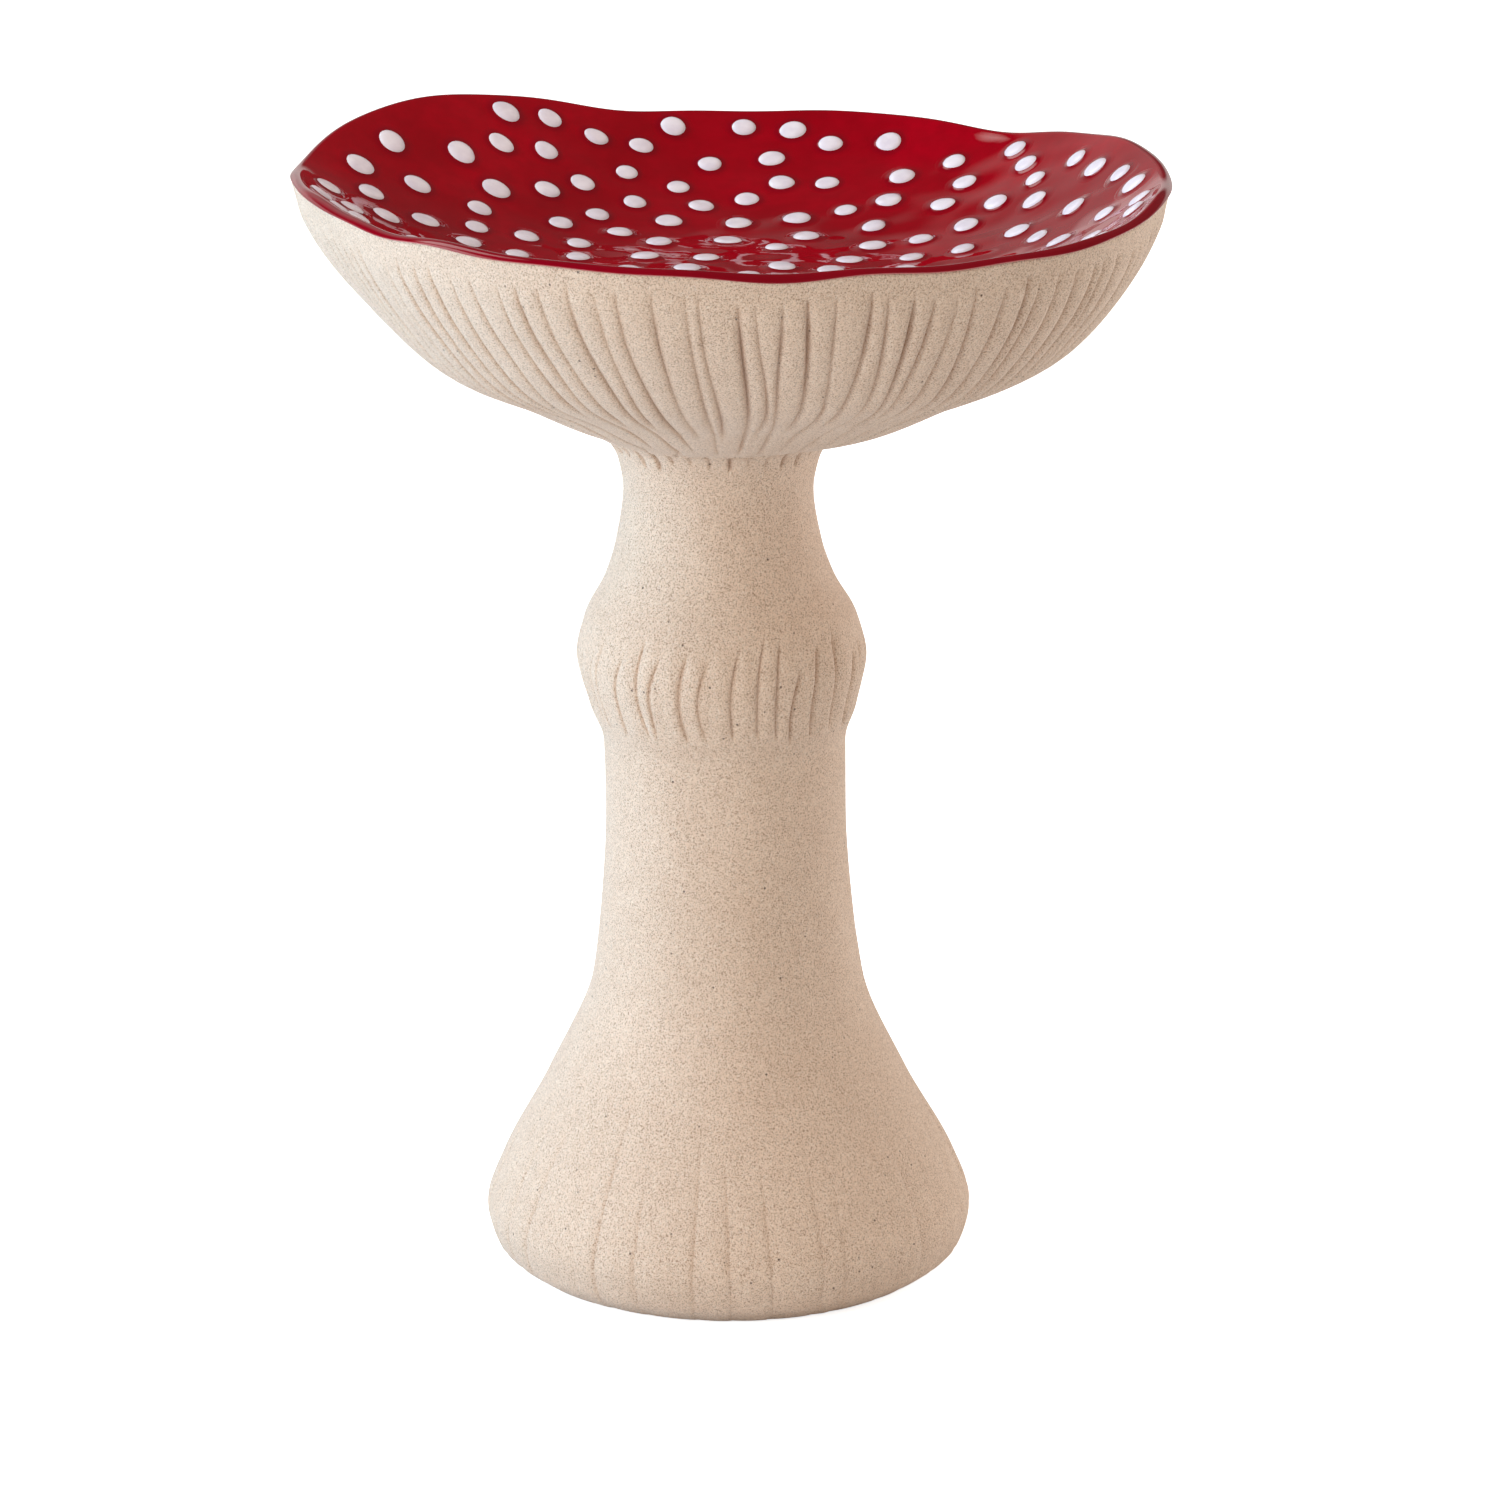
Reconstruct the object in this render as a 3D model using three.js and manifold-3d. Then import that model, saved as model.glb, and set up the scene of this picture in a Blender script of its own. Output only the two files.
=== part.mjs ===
import * as THREE from "three";
import { mergeVertices } from "three/addons/utils/BufferGeometryUtils.js";
import Module from "manifold-3d";

// A stoneware toadstool: a hollow pedestal, and a hollow dish-shaped cap that lifts off it.
// Millimetres, +Z up, front towards -Y. The origin is on the floor under the middle of the rim.

// Pedestal outline: its turns from the floor up, each a rise above the last and an outer radius
const soleRadius = 106;
const footRise = 27;
const footRadius = 122.8;
const waistRise = 209;
const waistRadius = 60;
const creaseRise = 35;
const creaseRadius = 60.4;
const skirtRise = 45;
const skirtRadius = 71.8;
const neckRise = 84;
const neckRadius = 47.2;
const seatRise = 30;
const seatRadius = 60;

// Pedestal walls and openings
const pedestalWall = 9;
const soleWidth = 10;
const mouthRadius = 37.5;
const mouthDepth = 24;

// Pedestal grooves
const footGrooveCount = 34;
const footGrooveDepth = 1.4;
const footGrooveWidth = 3.6;
const footGrooveRise = 49; // above the foot's widest turn
const skirtGrooveCount = 36;
const skirtGrooveDepth = 1.8;
const skirtGrooveWidth = 3;
const skirtGrooveSlant = 8; // how much higher they sit in front than at the sides

// The centre line leans a little: its x at each turn, and its y all the way up
const footLean = 0.6;
const waistLean = -1;
const neckLean = -4.4;
const seatLean = -4;
const shoulderLean = 5;
const bellyLean = 6.5;
const rimLean = 2.1;
const middleY = 3.8;

// Bowl underside, from the seat out, each turn again a rise above the last and a radius
const shoulderRise = 8;
const shoulderRadius = 85;
const bellyRise = 36;
const bellyRadius = 160;
const rimRise = 82; // to the top of the glazed lip
const rimRadius = 216.5; // over the glaze

// Bowl walls and spigot
const bowlWall = 9;
const spigotLength = 16;
const spigotClearance = 1.5;
const spigotWall = 8;
const spigotChamfer = 2;
const cavityTip = 3; // height of the cavity at its outer end

// Gills under the bowl: every second one ends at the belly
const gillCount = 88;
const gillDepth = 2.2;
const gillWidth = 3.6;
const gillWander = 0.16; // sideways wander, as a share of the pitch
const gillBand = 10; // plain band between the lip and the gills

// Lip and dish
const lipRadius = 2.4;
const lipFoot = -27; // where the underside meets the lip's round, in degrees below its middle
const dishDepth = 50;
const dishFloorRadius = 70;
const dishWallPower = 2.2; // how late the dish's wall turns up

// Glaze
const glazeThickness = 1.2;
const glazeGap = 0.3;
const glazeEdge = 6; // where the glaze ends on the lip, in degrees above its middle

// Glaze dots
const dotRadius = 6.4;
const dotSizes = [0.9, 1.08]; // the smallest and largest, as shares of that radius
const dotHeight = 2.2;
const dotRoot = 0.3; // how deep a dot is sunk into the glaze
const dotSpacing = 22.5;
const dotEdge = 8; // plain edge between the dish's dots and its lip
const dotSeed = 7;
const dotTries = 6000;

// The rim's waves: lobes round the rim, size in millimetres, azimuth of one crest in degrees
const heightWaves = [
  { lobes: 1, size: 1, crest: -115 },
  { lobes: 2, size: 3.1, crest: -17 },
  { lobes: 3, size: 4.9, crest: 8 },
  { lobes: 4, size: 1, crest: 36 },
  { lobes: 5, size: 1.3, crest: -6 },
  { lobes: 6, size: 1.8, crest: 14 },
  { lobes: 7, size: 1.4, crest: -22 },
];
const reachWaves = [
  { lobes: 2, size: 4, crest: -52 },
  { lobes: 3, size: 3.9, crest: 33 },
  { lobes: 4, size: 5.2, crest: -26 },
];
const waveStart = 110; // radius where the waves begin to grow

// Facets
const columnsPerGroove = 3;
const rimColumns = 54;
const floorColumns = 27;
const boreColumns = 34;
const stemColumns = 42;
const dotSides = 6;

const degrees = Math.PI / 180;
const { lerp, smoothstep } = THREE.MathUtils;

// A smooth curve through [position, value] stations, which never swings past them
function curveThrough(stations) {
  const last = stations.length - 1;
  const rise = (i) => (stations[i + 1][1] - stations[i][1]) / (stations[i + 1][0] - stations[i][0]);
  const slopes = stations.map((_, i) => {
    if (i === 0) return rise(0);
    if (i === last) return rise(last - 1);
    const before = rise(i - 1);
    const after = rise(i);
    return before * after > 0 ? (2 * before * after) / (before + after) : 0;
  });
  return (position) => {
    let i = 0;
    while (i < last - 1 && position > stations[i + 1][0]) i += 1;
    const width = stations[i + 1][0] - stations[i][0];
    const t = (position - stations[i][0]) / width;
    return (
      stations[i][1] * (1 + 2 * t) * (1 - t) ** 2 +
      slopes[i] * width * t * (1 - t) ** 2 +
      stations[i + 1][1] * t * t * (3 - 2 * t) +
      slopes[i + 1] * width * t * t * (t - 1)
    );
  };
}

// A station part of the way from one to the next, by a share of each coordinate
function partWay(from, to, first, second) {
  return [lerp(from[0], to[0], first), lerp(from[1], to[1], second)];
}

// How steeply a curve climbs, as an angle
const steepness = (curve, position) => Math.atan(curve(position + 0.5) - curve(position - 0.5));

// Angles evenly round a full turn
const evenAngles = (count) => Array.from({ length: count }, (_, i) => (i * 2 * Math.PI) / count);

// Angles for grooves: one edge, the bottom and the other edge of each
function grooveAngles(count, halfWidth, wander = 0) {
  const pitch = (2 * Math.PI) / count;
  return evenAngles(count).flatMap((angle, groove) => {
    const middle = angle + (0.5 + wander * Math.sin(2.4 * groove)) * pitch;
    return [middle - halfWidth, middle, middle + halfWidth];
  });
}

const isGrooveBottom = (column) => column % columnsPerGroove === 1;
const isOddGroove = (column) => Math.floor(column / columnsPerGroove) % 2 === 1;

// A ring goes once round, anticlockwise seen from above
const ring = (angles, pointAt) => ({ angles, points: angles.map(pointAt) });

// A single point closes a surface on its axis
const pole = (point) => ({ angles: [0], points: [point] });

// Adds the faces between two neighbouring rings, whose counts may differ
function joinRings(first, second, firstStart, secondStart, faces) {
  const a = first.points.length;
  const b = second.points.length;
  const nextAngle = (one, count, i) => {
    if (count === 1 || i === count) return Infinity;
    return i + 1 < count ? one.angles[i + 1] : 2 * Math.PI + one.angles[0];
  };
  let i = 0;
  let j = 0;
  while ((a > 1 && i < a) || (b > 1 && j < b)) {
    const lead = nextAngle(first, a, i) - nextAngle(second, b, j);
    const alongFirst = first.points[(i + 1) % a].distanceTo(second.points[j % b]);
    const alongSecond = second.points[(j + 1) % b].distanceTo(first.points[i % a]);
    const level = Math.abs(lead) < 1e-9;
    const fromFirst = firstStart + (i % a);
    const fromSecond = secondStart + (j % b);
    if (level ? alongFirst <= alongSecond : lead < 0) {
      i += 1;
      faces.push(fromFirst, firstStart + (i % a), fromSecond);
    } else {
      j += 1;
      faces.push(fromFirst, secondStart + (j % b), fromSecond);
    }
  }
}

// A closed surface through rings. Listed upwards the outside faces out, listed inwards it faces up.
function loft(rings, closed = false) {
  const starts = [];
  const positions = [];
  for (const { points } of rings) {
    starts.push(positions.length / 3);
    points.forEach((p) => positions.push(p.x, p.y, p.z));
  }
  const faces = [];
  rings.forEach((one, k) => {
    const next = (k + 1) % rings.length;
    if (next > 0 || closed) joinRings(one, rings[next], starts[k], starts[next], faces);
  });
  const geometry = new THREE.BufferGeometry();
  geometry.setAttribute("position", new THREE.Float32BufferAttribute(positions, 3));
  geometry.setIndex(faces);
  return geometry;
}

// A level circle about the pedestal's centre line
function circle(radius, height, lean, count) {
  return ring(evenAngles(count), (angle) =>
    new THREE.Vector3(lean + radius * Math.cos(angle), middleY + radius * Math.sin(angle), height),
  );
}

// Pedestal

const footHeight = footRise;
const waistHeight = footHeight + waistRise;
const creaseHeight = waistHeight + creaseRise;
const skirtHeight = creaseHeight + skirtRise;
const neckHeight = skirtHeight + neckRise;
const seatHeight = neckHeight + seatRise;

const sole = [0, soleRadius];
const foot = [footHeight, footRadius];
const waist = [waistHeight, waistRadius];
const crease = [creaseHeight, creaseRadius];
const skirt = [skirtHeight, skirtRadius];
const neck = [neckHeight, neckRadius];
const seat = [seatHeight, seatRadius];

const stemRadius = curveThrough([
  sole,
  partWay(sole, foot, 0.4, 0.76),
  foot,
  partWay(foot, waist, 0.1, 0.11),
  partWay(foot, waist, 0.325, 0.505),
  partWay(foot, waist, 0.59, 0.87),
  waist,
  crease,
  partWay(crease, skirt, 0.49, 0.58),
  skirt,
  partWay(skirt, neck, 0.23, 0.17),
  partWay(skirt, neck, 0.47, 0.61),
  partWay(skirt, neck, 0.7, 0.86),
  neck,
  partWay(neck, seat, 0.54, 0.22),
  partWay(neck, seat, 0.86, 0.6),
  seat,
]);

const stemLean = curveThrough([
  [0, footLean],
  [waistHeight, waistLean],
  [neckHeight, neckLean],
  [seatHeight, seatLean],
]);

function stemRing(height, count = stemColumns) {
  return circle(stemRadius(height), height, stemLean(height), count);
}

// A ring through grooves, each cut in at its bottom. A slant lifts the ring in front.
function groovedRing(height, count, width, depth, slant = 0) {
  return ring(grooveAngles(count, width / 2 / stemRadius(height)), (angle, column) => {
    const level = height - slant * Math.sin(angle);
    const reach = stemRadius(level) - (isGrooveBottom(column) ? depth : 0);
    return new THREE.Vector3(
      stemLean(level) + reach * Math.cos(angle),
      middleY + reach * Math.sin(angle),
      level,
    );
  });
}

function pedestalGeometry() {
  const footRing = (height, share) =>
    groovedRing(height, footGrooveCount, footGrooveWidth, share * footGrooveDepth);
  const skirtRing = (rise, share) =>
    groovedRing(
      lerp(creaseHeight, skirtHeight, rise),
      skirtGrooveCount,
      skirtGrooveWidth,
      share * skirtGrooveDepth,
      skirtGrooveSlant,
    );
  const wallRing = (height) =>
    circle(stemRadius(height) - pedestalWall, height, stemLean(height), boreColumns);
  const footGrooveTop = footHeight + footGrooveRise;

  const rings = [
    footRing(0, 0.6),
    footRing(footHeight * 0.2, 1),
    footRing(footHeight * 0.55, 1),
    footRing(footHeight, 1),
    footRing(lerp(footHeight, footGrooveTop, 0.45), 0.8),
    footRing(footGrooveTop, 0),
  ];
  for (const share of [0.17, 0.32, 0.48, 0.68, 1]) {
    rings.push(stemRing(lerp(footGrooveTop, waistHeight, share)));
  }
  rings.push(
    stemRing(creaseHeight),
    skirtRing(0.2, 0.3),
    skirtRing(0.4, 1),
    skirtRing(0.8, 0.8),
    skirtRing(1.08, 0),
  );
  for (const share of [0.22, 0.36, 0.52, 0.72, 1]) {
    rings.push(stemRing(lerp(skirtHeight, neckHeight, share)));
  }
  for (const share of [0.5, 0.8, 1]) {
    rings.push(stemRing(lerp(neckHeight, seatHeight, share)));
  }
  const mouthBottom = seatHeight - mouthDepth;
  rings.push(
    circle(mouthRadius, seatHeight, seatLean, boreColumns),
    circle(mouthRadius, mouthBottom, seatLean, boreColumns),
  );
  for (const height of [
    lerp(skirtHeight, neckHeight, 0.5),
    skirtHeight,
    creaseHeight,
    lerp(footHeight, waistHeight, 0.7),
    lerp(footHeight, waistHeight, 0.4),
    footHeight,
  ]) {
    rings.push(wallRing(height));
  }
  rings.push(circle(soleRadius - soleWidth, 0, footLean, boreColumns));
  return loft(rings, true);
}

// Bowl: profiles in radius and height, bent by the rim's waves

const shoulderHeight = seatHeight + shoulderRise;
const bellyHeight = shoulderHeight + bellyRise;
const rimHeight = bellyHeight + rimRise;

const skinRadius = lipRadius + glazeGap + glazeThickness; // the lip's round, over the glaze
const lipMiddle = [rimRadius - skinRadius, rimHeight - skinRadius];
const clayDepth = glazeThickness + glazeGap; // from the top of the glaze down to the clay

// The dish over the glaze: level, then a wall that climbs to the lip's round
const dishFloor = rimHeight - dishDepth;
const lipInner = 128; // where the wall meets the lip's round, in degrees
const wallTop = [
  lipMiddle[0] + skinRadius * Math.cos(lipInner * degrees),
  lipMiddle[1] + skinRadius * Math.sin(lipInner * degrees),
];
function dishHeight(radius) {
  const share = Math.max(0, (radius - dishFloorRadius) / (wallTop[0] - dishFloorRadius));
  return dishFloor + (wallTop[1] - dishFloor) * share ** dishWallPower;
}

// The underside of the clay, from the seat to the foot of the lip
const lipFootPoint = [
  lipMiddle[0] + lipRadius * Math.cos(lipFoot * degrees),
  lipMiddle[1] + lipRadius * Math.sin(lipFoot * degrees),
];
const shoulder = [shoulderRadius, shoulderHeight];
const belly = [bellyRadius, bellyHeight];
const undersideHeight = curveThrough([
  [seatRadius, seatHeight],
  shoulder,
  partWay(shoulder, belly, 0.41, 0.41),
  belly,
  partWay(belly, lipFootPoint, 0.58, 0.4),
  partWay(belly, lipFootPoint, 0.93, 0.8),
  lipFootPoint,
]);

const undersideLean = curveThrough([
  [seatRadius, seatLean],
  [shoulderRadius, shoulderLean],
  [bellyRadius, bellyLean],
  [lipFootPoint[0], rimLean],
]);

function wave(waves, angle) {
  return waves.reduce((sum, { lobes, size, crest }) => {
    return sum + size * Math.cos(lobes * (angle - crest * degrees));
  }, 0);
}

// A point of the bowl. The waves act as they do at waveRadius, so that surfaces that lie on
// each other bend alike.
function bentPoint(radius, height, angle, lean, waveRadius) {
  const share = smoothstep(waveRadius, waveStart, lipMiddle[0]) ** 2;
  const reach = radius + share * wave(reachWaves, angle);
  return new THREE.Vector3(
    lean + reach * Math.cos(angle),
    middleY + reach * Math.sin(angle),
    height + share * wave(heightWaves, angle),
  );
}

// A point some depth below the top of the glaze, square to it
function dishPoint(radius, depth, angle) {
  const slope = steepness(dishHeight, radius);
  return bentPoint(
    radius + depth * Math.sin(slope),
    dishHeight(radius) - depth * Math.cos(slope),
    angle,
    rimLean,
    radius,
  );
}

function dishRing(radius, depth, count = rimColumns) {
  return ring(evenAngles(count), (angle) => dishPoint(radius, depth, angle));
}

function lipRing(turn, depth) {
  const radius = lipMiddle[0] + (skinRadius - depth) * Math.cos(turn * degrees);
  const height = lipMiddle[1] + (skinRadius - depth) * Math.sin(turn * degrees);
  return ring(evenAngles(rimColumns), (angle) =>
    bentPoint(radius, height, angle, rimLean, lipMiddle[0]),
  );
}

// The rings from the middle of the dish to the edge of the glaze, at one depth
const dishRows = [0.25, 0.45, 0.6, 0.73, 0.84, 0.93];
const lipTurns = [lipInner, 92, 60, 30, glazeEdge];
function dishRings(depth) {
  return [
    pole(dishPoint(0, depth, 0)),
    ...dishRows.map((share, i) =>
      dishRing(share * wallTop[0], depth, i === 0 ? floorColumns : rimColumns),
    ),
    ...lipTurns.map((turn) => lipRing(turn, depth)),
  ];
}

// A point some depth inside the underside, square to it
function undersidePoint(radius, depth, angle) {
  const slope = steepness(undersideHeight, radius);
  return bentPoint(
    radius - depth * Math.sin(slope),
    undersideHeight(radius) + depth * Math.cos(slope),
    angle,
    undersideLean(radius),
    radius,
  );
}

// A ring of the underside through gills, by their depth. Without a short depth the odd gills are left out.
function gillRing(radius, longDepth, shortDepth = null) {
  const all = grooveAngles(gillCount, gillWidth / 2 / radius, gillWander);
  const columns = all.map((_, column) => column);
  const kept = columns.filter((column) => shortDepth !== null || !isOddGroove(column));
  const depths = kept.map((column) => {
    if (!isGrooveBottom(column)) return 0;
    return isOddGroove(column) ? shortDepth : longDepth;
  });
  const angles = kept.map((column) => all[column]);
  return ring(angles, (angle, i) => undersidePoint(radius, depths[i], angle));
}

// A point of the cavity's floor, one wall inside the underside
const cavityFloorPoint = (radius, angle) => undersidePoint(radius, bowlWall, angle);

// The cavity reaches out to where its floor nears its roof, one wall below the clay of the dish
function cavityReach() {
  const isOpen = (radius) => {
    const slope = steepness(undersideHeight, radius);
    const inside = radius - bowlWall * Math.sin(slope);
    const floor = undersideHeight(radius) + bowlWall * Math.cos(slope);
    const roof = dishHeight(inside) - (clayDepth + bowlWall) / Math.cos(steepness(dishHeight, inside));
    return roof - floor > cavityTip;
  };
  let radius = shoulderRadius;
  while (isOpen(radius + 1)) radius += 1;
  return radius;
}

function bowlGeometry() {
  const spigotRadius = mouthRadius - spigotClearance;
  const boreRadius = spigotRadius - spigotWall;
  const spigotEnd = seatHeight - spigotLength;
  const bore = (radius, height) => circle(radius, height, seatLean, boreColumns);

  const reach = cavityReach();
  const tip = cavityFloorPoint(reach, 0).x - bellyLean;
  const roofRing = (share) => dishRing(share * tip, clayDepth + bowlWall, boreColumns);
  const floorRing = (share) =>
    ring(evenAngles(boreColumns), (angle) =>
      cavityFloorPoint(lerp(seatRadius, reach, share), angle),
    );
  const bandSlope = steepness(undersideHeight, lipFootPoint[0] - gillBand / 2);
  const gillEnd = lipFootPoint[0] - gillBand * Math.cos(bandSlope);
  const plainRing = (radius, count) =>
    ring(evenAngles(count), (angle) => undersidePoint(radius, 0, angle));

  return loft([
    pole(dishPoint(0, clayDepth + bowlWall, 0)),
    ...[0.4, 0.7, 0.95].map(roofRing),
    ...[1, 0.75, 0.45, 0.15].map(floorRing),
    bore(boreRadius, seatHeight + bowlWall),
    bore(boreRadius, spigotEnd),
    bore(spigotRadius - spigotChamfer, spigotEnd),
    bore(spigotRadius, spigotEnd + spigotChamfer),
    bore(spigotRadius, seatHeight),
    plainRing(seatRadius, boreColumns),
    gillRing(lerp(seatRadius, shoulderRadius, 0.5), gillDepth * 0.7),
    gillRing(shoulderRadius, gillDepth),
    gillRing(lerp(shoulderRadius, bellyRadius, 0.5), gillDepth),
    gillRing(lerp(shoulderRadius, bellyRadius, 0.75), gillDepth, 0),
    gillRing(bellyRadius, gillDepth, gillDepth),
    gillRing(lerp(bellyRadius, gillEnd, 0.8), gillDepth, gillDepth),
    gillRing(gillEnd, 0, 0),
    lipRing(lipFoot, skinRadius - lipRadius),
    ...dishRings(clayDepth).reverse(),
  ]);
}

// Glaze: one layer from the dish's middle round the lip, with raised dots fused to it

function glazeGeometry() {
  return loft([...dishRings(glazeThickness), ...dishRings(0).reverse()]);
}

// Repeatable random numbers from 0 to 1
function randomNumbers(seed) {
  const range = 2 ** 32;
  let state = seed;
  return () => {
    state = (state * 1664525 + 1013904223) % range;
    return state / range;
  };
}

// Dots land one by one, and one that lands too near another is left out
function dotPlaces() {
  const random = randomNumbers(dotSeed);
  const places = [];
  for (let i = 0; i < dotTries; i += 1) {
    const radius = (wallTop[0] - dotEdge) * Math.sqrt(random());
    const angle = 2 * Math.PI * random();
    const size = lerp(...dotSizes, random());
    const flat = new THREE.Vector3(radius * Math.cos(angle), radius * Math.sin(angle), dishHeight(radius));
    const isClear = places.every((other) => other.flat.distanceTo(flat) > dotSpacing);
    if (isClear) places.push({ radius, angle, size, flat });
  }
  return places;
}

// The facet of the glaze at a radius and angle: the point there, and the ways out and round
function facetAt(radius, angle) {
  const rows = [0, ...dishRows, 1].map((share) => share * wallTop[0]);
  const row = rows.findLastIndex((inner) => inner <= radius);
  const pitch = (2 * Math.PI) / rimColumns;
  const column = Math.floor(angle / pitch);
  const corner = (i, j) => dishPoint(rows[row + i], 0, (column + j) * pitch);
  const out = (radius - rows[row]) / (rows[row + 1] - rows[row]);
  const round = angle / pitch - column;
  const inner = corner(0, 0).lerp(corner(0, 1), round);
  const outer = corner(1, 0).lerp(corner(1, 1), round);
  return {
    middle: inner.clone().lerp(outer, out),
    outwards: outer.clone().sub(inner),
    onwards: corner(1, 1).sub(corner(1, 0)),
  };
}

// A dot is a low dome square to the glaze
function dotRings({ radius, angle, size }) {
  const { middle, outwards, onwards } = facetAt(radius, angle);
  const up = outwards.clone().cross(onwards).normalize();
  const across = outwards.normalize();
  const along = up.clone().cross(across);
  const at = (turn, reach, lift) =>
    middle
      .clone()
      .addScaledVector(across, reach * Math.cos(turn))
      .addScaledVector(along, reach * Math.sin(turn))
      .addScaledVector(up, lift);
  const base = ring(evenAngles(dotSides), (turn) => at(turn, size * dotRadius, -dotRoot));
  return [pole(at(0, 0, -dotRoot)), base, pole(at(0, 0, dotHeight))];
}

const red = new THREE.Color(0xa3101c);
const white = new THREE.Color(0xe8dde4);
const clay = new THREE.Color(0xd0b8a2);

const wasm = await Module();
wasm.setup();

const vertexSize = 6; // a place and a colour

// A solid of one colour, from closed surfaces that don't touch
function solidOf(geometries, colour) {
  const vertices = [];
  const faces = [];
  for (const geometry of geometries) {
    const merged = mergeVertices(geometry, 1e-3);
    const start = vertices.length / vertexSize;
    const at = merged.getAttribute("position");
    for (let i = 0; i < at.count; i += 1) {
      vertices.push(at.getX(i), at.getY(i), at.getZ(i), colour.r, colour.g, colour.b);
    }
    merged.index.array.forEach((i) => faces.push(start + i));
  }
  return new wasm.Manifold(
    new wasm.Mesh({
      numProp: vertexSize,
      vertProperties: new Float32Array(vertices),
      triVerts: new Uint32Array(faces),
    }),
  );
}

// The geometry of a solid, with its colours
function geometryOf(solid) {
  const { vertProperties, triVerts, numProp } = solid.getMesh();
  const buffer = new THREE.InterleavedBuffer(vertProperties, numProp);
  const geometry = new THREE.BufferGeometry();
  geometry.setAttribute("position", new THREE.InterleavedBufferAttribute(buffer, 3, 0));
  geometry.setAttribute("color", new THREE.InterleavedBufferAttribute(buffer, 3, 3));
  geometry.setIndex(new THREE.BufferAttribute(triVerts, 1));
  return geometry;
}

const stoneware = { color: clay, roughness: 0.85, metalness: 0, flatShading: true };

const pedestal = new THREE.Mesh(pedestalGeometry(), new THREE.MeshStandardMaterial(stoneware));
pedestal.name = "pedestal";

const bowl = new THREE.Mesh(bowlGeometry(), new THREE.MeshStandardMaterial(stoneware));
bowl.name = "bowl";

const dots = solidOf(dotPlaces().map((place) => loft(dotRings(place))), white);
const dottedGlaze = solidOf([glazeGeometry()], red).add(dots);
const glazeLining = new THREE.Mesh(
  geometryOf(dottedGlaze),
  new THREE.MeshStandardMaterial({ vertexColors: true, roughness: 0.12, metalness: 0, flatShading: true }),
);
glazeLining.name = "glaze_lining";

// The cap lifts straight up off the pedestal
const cap = new THREE.Group();
cap.add(bowl, glazeLining);

const toadstool = new THREE.Group();
toadstool.add(pedestal, cap);

export default toadstool;
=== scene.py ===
"""The looks of a stoneware toadstool: a hollow pedestal, and a lift-off cap glazed red with white dots.

Outlines are in millimetres, as the part's own sizes are, and every mesh is made in metres.
Front is towards -Y, and angles go anticlockwise from +X, seen from above.
"""

import math

import bpy
import numpy as np
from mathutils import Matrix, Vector


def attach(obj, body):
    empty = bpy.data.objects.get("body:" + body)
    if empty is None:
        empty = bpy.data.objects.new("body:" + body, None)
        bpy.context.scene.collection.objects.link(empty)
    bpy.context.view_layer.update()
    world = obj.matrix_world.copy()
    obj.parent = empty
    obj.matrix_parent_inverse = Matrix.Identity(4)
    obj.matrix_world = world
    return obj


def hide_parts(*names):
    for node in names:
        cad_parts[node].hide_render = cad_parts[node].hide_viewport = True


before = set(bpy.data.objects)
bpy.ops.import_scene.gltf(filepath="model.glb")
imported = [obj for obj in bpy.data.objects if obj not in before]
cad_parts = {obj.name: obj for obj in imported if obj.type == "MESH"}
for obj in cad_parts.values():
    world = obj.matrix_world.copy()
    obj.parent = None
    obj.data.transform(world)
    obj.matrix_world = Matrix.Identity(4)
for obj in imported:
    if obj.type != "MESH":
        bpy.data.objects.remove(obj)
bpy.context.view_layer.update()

MM = 0.001

# Pedestal outline: its turns from the floor up, each a rise above the last and an outer radius
SOLE_RADIUS = 106
FOOT_RISE, FOOT_RADIUS = 27, 122.8
WAIST_RISE, WAIST_RADIUS = 209, 60
CREASE_RISE, CREASE_RADIUS = 35, 60.4
SKIRT_RISE, SKIRT_RADIUS = 45, 71.8
NECK_RISE, NECK_RADIUS = 84, 47.2
SEAT_RISE, SEAT_RADIUS = 30, 60

PEDESTAL_WALL = 9
SOLE_WIDTH = 10
SOLE_ROUND = 1.6
MOUTH_RADIUS = 37.5
MOUTH_DEPTH = 24
SEAT_ROUND = 0.5

# The centre line leans a little: its x at each turn, and its y all the way up
FOOT_LEAN, WAIST_LEAN, NECK_LEAN, SEAT_LEAN = 0.6, -1, -4.4, -4
SHOULDER_LEAN, BELLY_LEAN, RIM_LEAN = 5, 6.5, 2.1
MIDDLE_Y = 3.8

# Bowl underside, from the seat out, each turn again a rise above the last and a radius
SHOULDER_RISE, SHOULDER_RADIUS = 8, 85
BELLY_RISE, BELLY_RADIUS = 36, 160
RIM_RISE, RIM_RADIUS = 82, 216.5
BOWL_WALL = 9
SPIGOT_LENGTH = 16
SPIGOT_CLEARANCE = 1.5
SPIGOT_WALL = 8
SPIGOT_CHAMFER = 2
CAVITY_REACH = 168

# Lip, dish and glaze
LIP_RADIUS = 2.4
LIP_FOOT = -27  # where the lip's round starts, outside and below, in degrees
LIP_INNER = 128  # and where it ends in the dish
DISH_DEPTH = 50
DISH_FLOOR_RADIUS = 70
DISH_WALL_POWER = 2.2  # how late its wall curves up
GLAZE_THICKNESS = 1.2
GLAZE_GAP = 0.3
GLAZE_EDGE = 30  # where the glaze ends on the lip, in degrees, before its waves
GLAZE_COLUMNS = 600
# The rounded edge of the glaze: degrees past its end, depth below its top, and how thin it looks
GLAZE_BEAD = [(6, 1.1, 1), (7.5, 0.7, 1), (6, 0.3, 0.9), (3.5, 0.08, 0.6)]

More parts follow.
